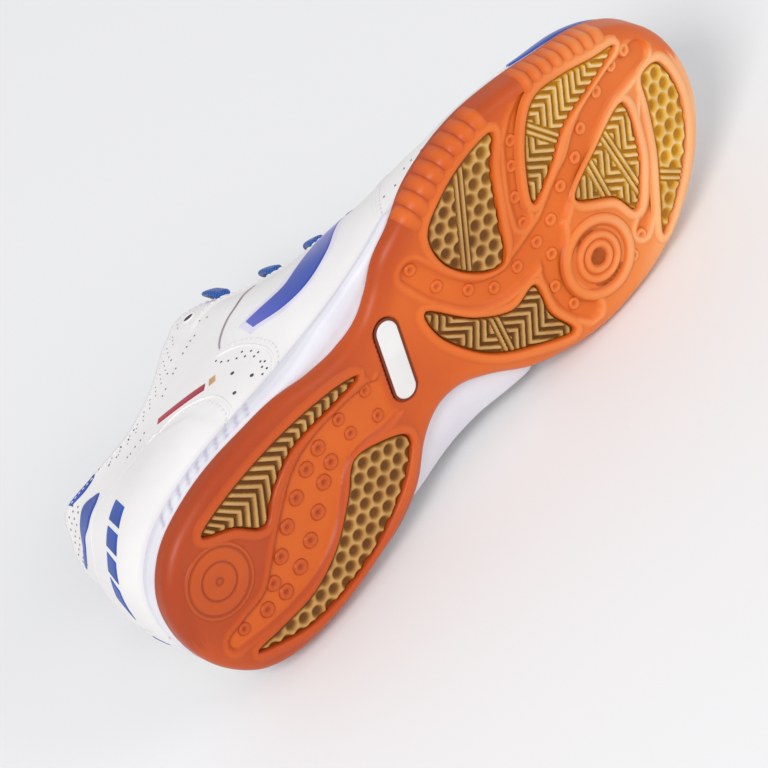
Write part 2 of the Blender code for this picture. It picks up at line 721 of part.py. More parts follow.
def make_collar(parts):
    """The padded lining that rolls over the collar's edge, round the heel."""
    turns = turn_of(np.linspace(COLLAR_FRONT, 0.0, 19))
    skin = WALL + 3 * GAP
    section = [
        # t, depth below the outer face, rise past the top edge
        (0.74, skin, 0.0),
        (0.87, skin, 0.0),
        (1.00, skin, 0.0),
        (1.00, skin + 0.15 * COLLAR_PAD, COLLAR_ROLL),
        (1.00, skin + 0.60 * COLLAR_PAD, COLLAR_ROLL),
        (1.00, skin + 1.00 * COLLAR_PAD, 0.0),
        (0.87, skin + 0.95 * COLLAR_PAD, 0.0),
        (0.74, skin + 0.45 * COLLAR_PAD, 0.0),
    ]
    rings = []
    for side, places in ((True, turns), (False, turns[-2::-1])):
        rows = []
        for t, depth, rise in section:
            level = np.full(len(places), t)
            tangent = shell_point(places, side, level) - shell_point(places, side, level - 0.03)
            tangent /= np.linalg.norm(tangent, axis=-1, keepdims=True)
            rows.append(inside(places, side, level, depth) + tangent * rise)
        rings += list(np.stack(rows, 1))
    return new_object("collar_lining", loft(rings, ladder=False), parts, (0.80, 0.80, 0.82), 0.8)


def make_tongue(parts):
    """The padded tongue: a saddle under the eyestays, with a free end above the throat."""
    sections = []
    for foot, reach in TONGUE:
        turn = turn_of([foot])
        depth = WALL + 2 * GAP
        sides = []
        for outer in (True, False):
            edge = inside(turn, outer, np.array([0.96]), depth)[0]
            middle = inside(turn, outer, np.array([(0.96 + reach) / 2]), depth)[0]
            under = inside(turn, outer, np.array([reach]), depth)[0]
            sides.append((under, middle, edge))
        (a, b, c), (f, e, d) = sides
        centre = (c + d) / 2 + np.array([0, 0, TONGUE_CROWN]) * np.linalg.norm(d - c)
        sections.append([a, b, c, centre, d, e, f])
    sections = np.array(sections)
    way = sections[-1].mean(0) - sections[-3].mean(0)
    way /= np.linalg.norm(way)
    middle = sections[-1].mean(0)
    for rise, width, drop in ((0.5, 0.86, 0.0), (0.85, 0.76, 0.0), (1.0, 0.62, 0.0)):
        row = sections[len(TONGUE) - 1].copy()
        row[:, 1] = middle[1] + (row[:, 1] - middle[1]) * width
        sections = np.concatenate([sections, [row + way * TONGUE_RISE * rise]])
    data = bmesh.new()
    rows = [[data.verts.new(point) for point in row] for row in sections]
    for low, high in zip(rows[:-1], rows[1:]):
        for i in range(len(low) - 1):
            data.faces.new((low[i], low[i + 1], high[i + 1], high[i]))
    tongue = new_object("tongue", data, parts, (0.82, 0.82, 0.83), 0.75)
    pad = tongue.modifiers.new("padding", "SOLIDIFY")
    pad.thickness = TONGUE_THICKNESS
    pad.offset = -1.0
    return bake(tongue)


def make_insole(parts):
    """The foot bed inside the upper, on the midsole."""
    turns, outer = loop_turns(STATIONS)
    depth = WALL + 3 * GAP
    base = either(outer, feather(turns, True), feather(turns, False))
    normals = either(outer, edge_normal("body", True, turns), edge_normal("body", False, turns))
    base[:, :2] -= normals * depth
    base[:, 2] = bed_height(base[:, 0]) + spring(base[:, 0]) + GAP
    middle = base + [0, 0, INSOLE_THICKNESS * 0.7]
    middle[:, :2] -= normals * INSOLE_THICKNESS * 0.4
    top = base + [0, 0, INSOLE_THICKNESS]
    top[:, :2] -= normals * INSOLE_THICKNESS * 0.7
    rings = [base, middle, top]
    return new_object("insole", loft(rings), parts, (0.10, 0.16, 0.42), 0.85)


def strip(path, faces, name, parts):
    """A flat lace along a path; faces are the directions that its flat side looks in."""
    knots = np.arange(len(path))
    places = np.linspace(0, len(path) - 1, 9)
    centre = np.stack([smooth(knots, np.array(path)[:, k])(places) for k in range(3)], -1)
    upward = np.stack([smooth(knots, np.array(faces)[:, k])(places) for k in range(3)], -1)
    run = np.gradient(centre, axis=0)
    run /= np.linalg.norm(run, axis=1)[:, None]
    across = np.cross(run, upward)
    across /= np.linalg.norm(across, axis=1)[:, None]
    upward = np.cross(across, run)
    w, h = LACE_WIDTH / 2, LACE_THICKNESS / 2
    outline = [(-w, 0), (-0.75 * w, h), (0.75 * w, h), (w, 0), (0.75 * w, -h), (-0.75 * w, -h)]
    rings = [[c + a * u + b * v for u, v in outline] for c, a, b in zip(centre, across, upward)]
    return new_object(name, loft(rings, ladder=False), parts, (0.012, 0.075, 0.35), 0.7)


def lace_place(foot, outer, t, height):
    """A point over the upper at an eyelet's station, and the way that the wall faces there."""
    turn = turn_of([foot])
    level = np.array([t])
    normal = shell_normal(turn, outer, level)[0]
    return shell_point(turn, outer, level)[0] + normal * height, normal


def lace_across(start, end, outer, name, parts, from_below, bow):
    """One run of the lace: out of the throat or an eyelet on one side, to an eyelet across."""
    over = OVERLAY_STEP + LACE_THICKNESS / 2 + 2 * GAP
    if from_below:
        first, face = lace_place(start - LACE_START_SHIFT, outer, 1.0, -LACE_START_DEPTH)
        head = [(first, face)]
    else:
        head = [lace_place(start, outer, EYELET_ROW, over),
                lace_place(start, outer, THROAT_ROW, over)]
    tail = [lace_place(end, not outer, THROAT_ROW, over + LACE_THICKNESS / 2),
            lace_place(end, not outer, EYELET_ROW, over)]
    gap_a, gap_b = head[-1][0], tail[0][0]
    flat = (head[-1][1] + tail[0][1]) / 2
    if from_below:
        inward = gap_b - gap_a
        inward /= np.linalg.norm(inward)
        head[-1] = (gap_a + inward * LACE_THICKNESS, head[-1][1])
    centre = (gap_a + gap_b) / 2 + flat * bow
    stops = head + [(centre, flat)] + tail
    return strip([stop[0] for stop in stops], [stop[1] for stop in stops], name, parts)


def make_laces(parts, cutters):
    """Crossings of the flat lace, each two runs joined, and the front bar on the first one."""
    laced = EYELETS[1:][::-1]
    for k in range(len(laced) - 1):
        name = "lace_crossing_%d" % (k + 1)
        bow = LACE_BOW * ((k + 1) / (len(laced) - 1)) ** 3
        run = lace_across(laced[k], laced[k + 1], True, name, parts, True, bow)
        other = lace_across(laced[k], laced[k + 1], False, "join_" + name, cutters, True,
                            bow - LACE_THICKNESS / 2)
        cut(run, as_cutter(other), "UNION")
    lace_across(laced[0], laced[0], True, "lace_front_bar", parts, False, 0.0)


def punch_eyelets(upper, cutters):
    """Round holes through the eyestays."""
    for outer in (True, False):
        for n, foot in enumerate(EYELETS):
            centre, normal = lace_place(foot, outer, EYELET_ROW, 0.0)
            data = bmesh.new()
            bmesh.ops.create_cone(data, cap_ends=True, segments=8, radius1=EYELET_RADIUS,
                                  radius2=EYELET_RADIUS, depth=4 * WALL)
            turn = Vector(normal).to_track_quat("Z", "Y").to_matrix().to_4x4()
            data.transform(Matrix.Translation(Vector(centre)) @ turn)
            side = "outer" if outer else "inner"
            punch = new_object("punch_%s_%d" % (side, n + 1), data, cutters)
            cut(upper, as_cutter(punch))


def lay_down(parts):
    """Puts the shoe on its inner side, its lowest point on the floor and centred over the origin."""
    carrier = bpy.data.objects.new("lying_shoe", None)
    parts.objects.link(carrier)
    turn = Euler([math.radians(angle) for angle in LYING_TURN], "XYZ").to_matrix()
    points = np.concatenate([np.array([turn @ v.co for v in thing.data.vertices])
                             for thing in parts.objects if thing.type == "MESH"])
    low, high = points.min(0), points.max(0)
    shift = (-(low[0] + high[0]) / 2, -(low[1] + high[1]) / 2, -low[2])
    carrier.matrix_world = Matrix.Translation(shift) @ turn.to_4x4()
    for thing in parts.objects:
        if thing.type == "MESH":
            thing.parent = carrier
    return carrier


def main():
    for thing in list(bpy.data.objects):
        bpy.data.objects.remove(thing, do_unlink=True)
    parts = bpy.data.collections.new("indoor_soccer_shoe")
    cutters = bpy.data.collections.new("cutters")
    bpy.context.scene.collection.children.link(parts)
    bpy.context.scene.collection.children.link(cutters)
    make_outsole(parts, cutters)
    make_tread(parts)
    make_midsole(parts)
    upper = make_upper(parts)
    punch_eyelets(upper, cutters)
    make_collar(parts)
    make_tongue(parts)
    make_insole(parts)
    make_laces(parts, cutters)
    lay_down(parts)


main()
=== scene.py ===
# %% [markdown]
# # An indoor soccer shoe lying on its side
#
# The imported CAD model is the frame: it says where everything is. This lesson dresses it, piece by
# piece, with the moulded tread, the stitched white upper, the laces and their materials.
# All shapes are worked out on the shoe's own axes (X heel to toe, Y to the inner side, Z up from
# the ground to the collar) in metres, and one matrix lays each finished mesh on the floor.

# %% Load the frame
import json
import math

import bmesh
import bpy
import numpy as np
from mathutils import Euler, Matrix, Vector


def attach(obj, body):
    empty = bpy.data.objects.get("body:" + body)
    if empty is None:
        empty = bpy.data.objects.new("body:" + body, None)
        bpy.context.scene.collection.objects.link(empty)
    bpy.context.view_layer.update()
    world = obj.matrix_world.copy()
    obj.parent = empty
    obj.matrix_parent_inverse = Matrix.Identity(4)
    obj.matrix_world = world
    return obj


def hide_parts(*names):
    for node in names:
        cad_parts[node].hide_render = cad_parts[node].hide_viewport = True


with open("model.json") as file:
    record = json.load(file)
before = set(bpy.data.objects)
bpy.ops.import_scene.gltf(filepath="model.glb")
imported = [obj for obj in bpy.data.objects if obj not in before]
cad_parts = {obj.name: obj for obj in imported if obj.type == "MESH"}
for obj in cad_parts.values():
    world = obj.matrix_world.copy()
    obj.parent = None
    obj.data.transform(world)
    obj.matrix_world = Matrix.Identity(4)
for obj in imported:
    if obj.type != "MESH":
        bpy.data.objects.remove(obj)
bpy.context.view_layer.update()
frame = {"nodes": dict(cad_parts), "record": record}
print("CAD nodes:", len(frame["nodes"]))

# %% [markdown]
# The shoe lies turned by three angles. The record's heel mount is a known point of the sole, so
# the turn and that one point give the whole placing, and nothing has to be fitted by eye.

# %% How the shoe lies
LYING_TURN = (-98.67, -6.32, 0.0)
HEEL_REST = Vector((0.0246, -0.0139, 0.0))
turn = Euler([math.radians(angle) for angle in LYING_TURN], "XYZ").to_matrix()
heel_mount = next(m for m in frame["record"]["mounts"] if m["name"] == "heel_rest")
shift = Vector(heel_mount["pos_m"]) - turn @ HEEL_REST
LAY = Matrix.Translation(shift) @ turn.to_4x4()
print("shift of the lying shoe in mm:", [round(v * 1000, 2) for v in shift])

# %% [markdown]
# The camera was worked out from the photograph on the shoe's own axes, so it is laid down by the
# same matrix. A long lens from two metres away keeps the sole's outline free of perspective swell.

# %% Camera
LENS_MM = 253.1
EYE = Vector((-0.2348, -1.1440, -1.5389))
RIGHT = Vector((0.5907, 0.5785, -0.5625))
UP = Vector((0.7862, -0.5695, 0.2399))
AWAY = Vector((0.1815, 0.5840, 0.7912))
view = bpy.data.cameras.new("camera")
view.lens = LENS_MM
view.sensor_width = 36.0
view.clip_end = 50.0
camera = bpy.data.objects.new("camera", view)
axes = Matrix((turn @ RIGHT, turn @ UP, -(turn @ AWAY))).transposed()
camera.matrix_world = Matrix.Translation(LAY @ EYE) @ axes.to_4x4()
bpy.context.scene.collection.objects.link(camera)
bpy.context.scene.camera = camera
print("camera height over the floor in m:", round(camera.matrix_world.translation.z, 3))

# %% [markdown]
# The floor is a wide pale sheet, and the light is a bright even room with one large soft lamp
# over the heel's side and a weaker one across from it, as in a product picture: soft shadows, no
# hard highlights. One small function adds a node to a material, with its settings and its links.

# %% Tools for the materials
def colour(code):
    """An sRGB hex colour as linear RGBA."""
    parts = [int(code[k:k + 2], 16) / 255 for k in (0, 2, 4)]
    return [c / 12.92 if c <= 0.04045 else ((c + 0.055) / 1.055) ** 2.4 for c in parts] + [1.0]


def add(tree, kind, settings=None, inputs=None, links=None, stops=None):
    """Adds a node with its settings, socket values, incoming links and colour stops."""
    node = tree.nodes.new("ShaderNode" + kind)
    for name, value in (settings or {}).items():
        setattr(node, name, value)
    for name, value in (inputs or {}).items():
        node.inputs[name].default_value = value
    for name, source in (links or {}).items():
        tree.links.new(source, node.inputs[name])
    if stops:
        row = node.color_ramp.elements
        while len(row) < len(stops):
            row.new(0.5)
        for element, (place, code) in zip(row, stops):
            element.position = place
            element.color = colour(code)
    return node


def new_finish(name, values):
    """A material with its Principled shader's constants set."""
    material = bpy.data.materials.new(name)
    material.use_nodes = True
    shader = material.node_tree.nodes["Principled BSDF"]
    for key, value in values.items():
        shader.inputs[key].default_value = value
    return material, material.node_tree, shader


# %% Floor and light
FLOOR_HALF = 9.0
LAMPS = [
    # name, place and size in m, power in W
    ("key_lamp", (-1.8, -1.6, 2.6), 1.2, 58.0),
    ("fill_lamp", (2.4, -2.2, 1.8), 2.0, 22.0),
]
floor_data = bmesh.new()
bmesh.ops.create_grid(floor_data, x_segments=2, y_segments=2, size=FLOOR_HALF)
floor_mesh = bpy.data.meshes.new("floor")
floor_data.to_mesh(floor_mesh)
floor_data.free()
floor = bpy.data.objects.new("floor", floor_mesh)
bpy.context.scene.collection.objects.link(floor)
floor_finish, tree, shader = new_finish("matt_paper_floor", {"Roughness": 0.95})
place = add(tree, "TexCoord").outputs["Object"]
mottle = add(tree, "TexNoise", inputs={"Scale": 1.5, "Detail": 2.0}, links={"Vector": place})
tint = add(tree, "ValToRGB", stops=[(0.0, "E9E9E9"), (1.0, "ECECEC")],
           links={"Fac": mottle.outputs["Fac"]})
tree.links.new(tint.outputs["Color"], shader.inputs["Base Color"])
floor_mesh.materials.append(floor_finish)

world = bpy.data.worlds.new("room")
world.use_nodes = True
sky = world.node_tree.nodes["Background"]
sky.inputs["Color"].default_value = colour("F4F5F8")
sky.inputs["Strength"].default_value = 0.72
bpy.context.scene.world = world
bpy.context.scene.view_settings.view_transform = "Standard"
for lamp_name, spot, size, watts in LAMPS:
    lamp = bpy.data.lights.new(lamp_name, "AREA")
    lamp.size = size
    lamp.energy = watts
    holder = bpy.data.objects.new(lamp_name, lamp)
    aim = Vector((0.0, 0.0, 0.05)) - Vector(spot)
    holder.matrix_world = Matrix.Translation(spot) @ aim.to_track_quat("-Z", "Y").to_matrix().to_4x4()
    bpy.context.scene.collection.objects.link(holder)
print("floor and", len(bpy.data.lights), "lamps")

# %% [markdown]
# The shoe's shape comes from the same named sizes and tables as the CAD source: widths of the
# sole at stations from heel to toe, and Bezier columns that rise from the sole to the collar.
# A "turn" from 0 to 1 is a station's angle on a half circle, which makes both ends come out round.

# %% Sizes and tables of the shoe
SOLE_LENGTH = 0.290
BALL_WIDTH = 0.109
HEEL_WIDTH = 0.081
TOE_SPRING = 0.0125
ARCH_RISE = 0.0030
PLATE_THICKNESS = 0.0050
EDGE_ROUNDING = 0.0050
CUP_WALL = 0.0020
CUP_HEEL_HEIGHT = 0.0090
CUP_WAIST_HEIGHT = 0.0062
CUP_BALL_HEIGHT = 0.0130
CUP_TOE_HEIGHT = 0.0150
POCKET_DEPTH = 0.0026
PAD_THICKNESS = 0.0020
CHANNEL_DEPTH = 0.0013
INLAY_LENGTH = 0.034
INLAY_WIDTH = 0.011
INLAY_THICKNESS = 0.0012
BED_HEEL_HEIGHT = 0.0185
BED_BALL_HEIGHT = 0.0120
LEDGE_THICKNESS = 0.0012
WALL = 0.0020
OVERLAY_STEP = 0.0008
COLLAR_HEIGHT = 0.0890
INSTEP_HEIGHT = 0.0990
VAMP_HEIGHT = 0.0615
TOE_BOX_HEIGHT = 0.0465
LACE_WIDTH = 0.0068
LACE_THICKNESS = 0.0022
LACE_BOW = 0.0040
GAP = 0.0003
MILLIMETRE = 0.001
VAMP_POINT = 0.690
COLLAR_FRONT = 0.380
EYELETS = [0.388, 0.436, 0.495, 0.552, 0.607, 0.655]
EYELET_ROW = 0.885
THROAT_ROW = 0.99
LACE_START_SHIFT = 0.018
LACE_START_DEPTH = 0.0006
# How much lower the cup's edge is on the inner side of the ball, the room over the cup's rim at
# which the midsole has stepped out in full, and how far in from its edge the upper's wall starts.
CUP_INNER_DROP = 0.0010
LEDGE_ROOM = 0.0058
FEATHER_INSET = 0.0022

OUTLINE = [
    # x, body outer side, body inner side, tread outer side, tread inner side
    (0.000, -0.070, -0.070, -0.070, -0.070),
    (0.017, -0.580, 0.430, -0.580, 0.430),
    (0.040, -0.780, 0.670, -0.780, 0.670),
    (0.075, -0.940, 0.840, -0.940, 0.840),
    (0.120, -1.020, 0.940, -1.020, 0.940),
    (0.175, -1.050, 0.980, -1.050, 0.980),
    (0.240, -1.030, 0.975, -1.020, 0.970),
    (0.310, -0.985, 0.960, -0.950, 0.925),
    (0.355, -0.955, 0.955, -0.815, 0.800),
    (0.400, -0.920, 0.940, -0.690, 0.600),
    (0.445, -0.890, 0.915, -0.660, 0.490),
    (0.480, -0.880, 0.910, -0.730, 0.520),
    (0.515, -0.880, 0.920, -0.850, 0.640),
    (0.560, -0.895, 0.940, -0.895, 0.850),
    (0.610, -0.895, 1.000, -0.895, 0.985),
    (0.670, -0.890, 1.080, -0.890, 1.080),
    (0.735, -0.857, 1.120, -0.857, 1.120),
    (0.800, -0.755, 1.105, -0.755, 1.105),
    (0.860, -0.605, 1.035, -0.605, 1.035),
    (0.915, -0.450, 0.920, -0.450, 0.920),
    (0.955, -0.275, 0.775, -0.275, 0.775),
    (0.985, -0.060, 0.590, -0.060, 0.590),
    (1.000, 0.266, 0.266, 0.266, 0.266),
]
SIDES = [
    # foot, bulge and rise of the lower handle, reach and drop of the upper handle, in mm
    (0.000, 7.5, 22.0, 3.0, 24.0),
    (0.040, 7.0, 21.0, 3.0, 22.0),
    (0.100, 5.5, 20.0, 3.0, 20.0),
    (0.180, 5.0, 18.0, 3.0, 18.0),
    (0.290, 4.0, 18.0, 5.0, 20.0),
    (0.400, 3.0, 22.0, 9.0, 22.0),
    (0.500, 2.5, 20.0, 13.0, 14.0),
    (0.600, 1.0, 15.0, 14.0, 6.5),
    (0.700, 1.0, 13.5, 17.5, 1.5),
    (0.800, 2.5, 14.0, 16.5, 0.5),
    (0.900, 4.0, 16.0, 16.0, 0.0),
    (1.000, 4.0, 16.0, 13.0, 0.0),
]
TOPLINE = [
    # foot, x, y outer side, y inner side, z, and the size that z follows
    (0.000, 0.027, -0.060, -0.060, 0.978, "collar"),
    (0.035, 0.044, -0.340, 0.240, 0.992, "collar"),
    (0.085, 0.072, -0.600, 0.490, 1.000, "collar"),
    (0.145, 0.124, -0.765, 0.680, 0.885, "collar"),
    (0.220, 0.195, -0.800, 0.730, 0.850, "collar"),
    (0.290, 0.262, -0.790, 0.730, 0.930, "collar"),
    (0.355, 0.325, -0.720, 0.670, 0.978, "instep"),
    (0.410, 0.378, -0.590, 0.530, 1.032, "instep"),
    (0.460, 0.430, -0.400, 0.350, 0.950, "instep"),
    (0.510, 0.485, -0.300, 0.260, 0.838, "instep"),
    (0.565, 0.545, -0.240, 0.230, 1.220, "vamp"),
    (0.620, 0.605, -0.170, 0.210, 1.105, "vamp"),
    (0.665, 0.655, -0.080, 0.170, 1.030, "vamp"),
    (0.690, 0.680, 0.040, 0.040, 1.000, "vamp"),
    (0.750, 0.735, 0.080, 0.080, 0.950, "vamp"),
    (0.810, 0.785, 0.120, 0.120, 0.900, "vamp"),
    (0.870, 0.832, 0.150, 0.150, 1.120, "toe"),
    (0.930, 0.875, 0.180, 0.180, 1.060, "toe"),
    (1.000, 0.925, 0.200, 0.200, 1.000, "toe"),
]
PADS = {
    "tread_pad_heel_outer": [
        (0.110, -0.777), (0.150, -0.830), (0.217, -0.812), (0.285, -0.745), (0.347, -0.619),
        (0.390, -0.445), (0.386, -0.410), (0.338, -0.498), (0.270, -0.569), (0.214, -0.460),
        (0.173, -0.298), (0.146, -0.551)],
    "tread_pad_heel_inner": [
        (0.053, 0.478), (0.113, 0.742), (0.171, 0.837), (0.238, 0.843), (0.298, 0.757),
        (0.357, 0.575), (0.384, 0.390), (0.354, 0.175), (0.312, 0.039), (0.274, 0.237),
        (0.215, 0.480), (0.155, 0.578), (0.094, 0.521)],
    "tread_pad_ball_outer": [
        (0.732, -0.681), (0.697, -0.482), (0.660, -0.184), (0.629, 0.043), (0.594, -0.075),
        (0.571, -0.355), (0.581, -0.621), (0.627, -0.708), (0.681, -0.728)],
    "tread_pad_ball_rear": [
        (0.512, -0.233), (0.549, 0.133), (0.592, 0.358), (0.636, 0.369), (0.626, 0.632),
        (0.632, 0.884), (0.583, 0.724), (0.532, 0.459), (0.504, 0.054)],
    "tread_pad_toe_outer": [
        (0.934, -0.211), (0.871, -0.220), (0.810, -0.228), (0.762, -0.126), (0.709, -0.046),
        (0.733, -0.278), (0.771, -0.488), (0.807, -0.569), (0.853, -0.477), (0.897, -0.334)],
    "tread_pad_toe_centre": [
        (0.888, 0.084), (0.864, 0.396), (0.834, 0.569), (0.802, 0.679), (0.792, 0.473),
        (0.752, 0.200), (0.816, 0.095)],
    "tread_pad_toe_inner": [
        (0.966, 0.202), (0.962, 0.459), (0.931, 0.688), (0.884, 0.853), (0.808, 1.000),
        (0.839, 0.789), (0.880, 0.550), (0.914, 0.284), (0.934, 0.119)],
}
CHANNELS = {
    "channel_heel": [
        (0.425, -0.110, 9.0), (0.395, -0.070, 17.0), (0.330, -0.230, 17.0), (0.270, -0.180, 22.0),
        (0.215, 0.060, 25.0), (0.165, 0.220, 21.0), (0.115, 0.290, 12.0), (0.070, 0.240, 8.0),
        (0.045, 0.210, 6.0)],
    "channel_ball": [
        (0.953, -0.010, 9.0), (0.914, -0.062, 10.0), (0.875, -0.103, 10.0), (0.826, -0.064, 10.0),
        (0.787, 0.018, 9.0), (0.750, 0.057, 9.0), (0.711, 0.150, 10.0), (0.678, 0.179, 11.0),
        (0.637, 0.177, 10.0), (0.596, 0.121, 9.0), (0.566, -0.030, 9.0), (0.545, -0.296, 9.0),
        (0.533, -0.560, 8.0)],
    "channel_ring": [
        (0.700, 0.235, 8.0), (0.678, 0.340, 10.0), (0.658, 0.539, 8.0), (0.657, 0.720, 8.0),
        (0.668, 0.880, 6.0)],
}


# %% Curves through the tables
def smooth(knots, values):
    """A smooth curve through a column of a table: cubic pieces with three-point slopes."""
    knots = np.asarray(knots, float)
    values = np.asarray(values, float)
    slopes = np.gradient(values, knots)

    def at(place):
        place = np.clip(place, knots[0], knots[-1])
        i = np.clip(np.searchsorted(knots, place, side="right") - 1, 0, len(knots) - 2)
        h = knots[i + 1] - knots[i]
        t = (place - knots[i]) / h
        rise = values[i + 1] - values[i]
        return (values[i] + rise * t * t * (3 - 2 * t)
                + h * t * (1 - t) * (slopes[i] * (1 - t) - slopes[i + 1] * t))

    return at


def ease(low, high, value):
    """0 below low, 1 above high and a soft step between."""
    t = np.clip((value - low) / (high - low), 0, 1)
    return t * t * (3 - 2 * t)


def turn_of(x_share):
    """The station angle of an x share, as a share of a half turn: ends come out round."""
    return np.arccos(np.clip(1 - 2 * np.asarray(x_share, float), -1, 1)) / math.pi


def share_of(turn):
    return (1 - np.cos(np.asarray(turn, float) * math.pi)) / 2


def half_width(x_share):
    """Half the shoe's width: the heel's at the back, the ball's at the front."""
    return (HEEL_WIDTH + (BALL_WIDTH - HEEL_WIDTH) * ease(0.30, 0.70, x_share)) / 2


def spring(x):
    """How far the toe end curves up off the ground."""
    return TOE_SPRING * np.clip((x / SOLE_LENGTH - 0.74) / 0.26, 0, None) ** 2


def arch(x):
    """How far the waist of the sole is raised."""
    share = x / SOLE_LENGTH
    return ARCH_RISE * ease(0.33, 0.42, share) * (1 - ease(0.47, 0.56, share))


def ground(x):
    """Height of the sole's under-side: the toe's spring and the waist's arch together."""
    return spring(x) + arch(x)


def cup_height(x, outer):
    """Height of the outsole's cupped edge, without spring: lower on the inner forefoot."""
    share = x / SOLE_LENGTH
    ball = CUP_BALL_HEIGHT if outer else CUP_BALL_HEIGHT - CUP_INNER_DROP
    rise = ball - CUP_WAIST_HEIGHT
    heights = smooth([0.0, 0.20, 0.33, 0.42, 0.53, 0.56, 0.61, 0.66, 0.80, 1.0],
                     [CUP_HEEL_HEIGHT, CUP_HEEL_HEIGHT, CUP_WAIST_HEIGHT, CUP_WAIST_HEIGHT,
                      CUP_WAIST_HEIGHT, CUP_WAIST_HEIGHT + 0.12 * rise,
                      CUP_WAIST_HEIGHT + 0.82 * rise, ball, ball, CUP_TOE_HEIGHT])
    return heights(share)


def bed_height(x):
    """Top of the midsole, where the upper and the insole sit, without spring."""
    share = x / SOLE_LENGTH
    return BED_HEEL_HEIGHT + (BED_BALL_HEIGHT - BED_HEEL_HEIGHT) * ease(0.28, 0.66, share)


TURNS = turn_of([row[0] for row in OUTLINE])
EDGES = {key: smooth(TURNS, [row[k] for row in OUTLINE]) for k, key in enumerate(
    [("body", True), ("body", False), ("tread", True), ("tread", False)], 1)}


def edge_point(kind, outer, turn):
    """A point of the body's or the tread's outline, on the plan."""
    share = share_of(turn)
    return np.stack([share * SOLE_LENGTH, EDGES[kind, outer](turn) * half_width(share)], -1)


def edge_normal(kind, outer, turn):
    """The outward direction at that point."""
    step = 1e-3
    ahead = np.minimum(turn + step, 1.0)
    back = np.maximum(turn - step, 0.0)
    run = edge_point(kind, outer, ahead) - edge_point(kind, outer, back)
    side = -1.0 if outer else 1.0
    normal = np.stack([-run[..., 1], run[..., 0]], -1) * side
    tip = (np.asarray(turn) <= 0) | (np.asarray(turn) >= 1)
    ends = np.stack([np.where(np.asarray(turn) <= 0, -1.0, 1.0), np.zeros_like(turn)], -1)
    normal = np.where(tip[..., None], ends, normal)
    return normal / np.linalg.norm(normal, axis=-1, keepdims=True)


def plan_points(rows):
    """Shares of a table to plan points."""
    rows = np.asarray(rows, float)
    return np.stack([rows[:, 0] * SOLE_LENGTH, rows[:, 1] * half_width(rows[:, 0])], -1)


def rounded(points, per_side=2):
    """A closed outline softened between its corner points."""
    points = np.asarray(points, float)
    before = np.roll(points, 1, 0)
    after = np.roll(points, -1, 0)
    beyond = np.roll(points, -2, 0)
    out = []
    for k in range(per_side):
        t = k / per_side
        out.append(0.5 * (2 * points + (after - before) * t
                          + (2 * before - 5 * points + 4 * after - beyond) * t * t
                          + (3 * points - before - 3 * after + beyond) * t ** 3))
    return np.stack(out, 1).reshape(-1, 2)


def grown(points, amount):
    """A closed plan outline moved outwards by amount, or inwards where it is negative."""
    run = np.roll(points, -1, 0) - points
    area = np.sum(points[:, 0] * np.roll(points[:, 1], -1) - np.roll(points[:, 0], -1) * points[:, 1])
    after = np.stack([run[:, 1], -run[:, 0]], -1) / np.linalg.norm(run, axis=1)[:, None]
    before = np.roll(after, 1, 0)
    square = np.maximum(1 + np.sum(before * after, 1), 0.35)[:, None]
    return points + (before + after) / square * amount * np.sign(area)


def cup_top(x, outer):
    return np.where(outer, cup_height(x, True), cup_height(x, False))


def ledge(x):
    """1 where the midsole steps out over the cup's rim, 0 where the cup hides it."""
    room = bed_height(x) - np.maximum(cup_height(x, True), cup_height(x, False))
    return ease(LEDGE_THICKNESS + 6 * GAP, LEDGE_ROOM, room)


def rim_height(x, outer):
    """Underside of the midsole's step, just over the cup's rim and under the foot bed."""
    top = bed_height(x) + spring(x)
    return np.minimum(cup_top(x, outer) + 1.5 * GAP + spring(x) + arch(x), top - LEDGE_THICKNESS)


FEET = turn_of([row[0] for row in SIDES])
HANDLES = [smooth(FEET, [row[k] * MILLIMETRE for row in SIDES]) for k in range(1, 5)]
TOP_HEIGHTS = {"collar": COLLAR_HEIGHT, "instep": INSTEP_HEIGHT, "vamp": VAMP_HEIGHT, "toe": TOE_BOX_HEIGHT}


def topline(turn, outer):
    """The top edge of the upper above the station: smooth along the collar and throat and,
    apart from it, along the ridge of the vamp, where both sides meet."""
    x_shares = np.array([row[1] for row in TOPLINE])
    y_shares = np.array([row[2] if outer else row[3] for row in TOPLINE])
    y = y_shares * half_width(x_shares)
    z = np.array([row[4] * TOP_HEIGHTS[row[5]] for row in TOPLINE])
    feet = turn_of([row[0] for row in TOPLINE])
    split = int(np.searchsorted([row[0] for row in TOPLINE], VAMP_POINT))
    edge = turn_of(VAMP_POINT)
    out = []
    for column in (x_shares * SOLE_LENGTH, y, z):
        back = smooth(feet[:split + 1], column[:split + 1])(turn)
        front = smooth(feet[split:], column[split:])(turn)
        out.append(np.where(np.asarray(turn) < edge, back, front))
    return np.stack(out, -1)


def feather(turn, outer):
    """Where the upper's wall starts, on the midsole's top edge."""
    inner = edge_point("tread", outer, turn) - edge_normal("tread", outer, turn) * (CUP_WALL + 2 * GAP)
    full = edge_point("body", outer, turn) - edge_normal("body", outer, turn) * FEATHER_INSET
    share = ledge(inner[..., 0])[..., None]
    plan = inner * (1 - share) + full * share
    z = bed_height(plan[..., 0]) + spring(plan[..., 0]) + GAP
    return np.concatenate([plan, z[..., None]], -1)


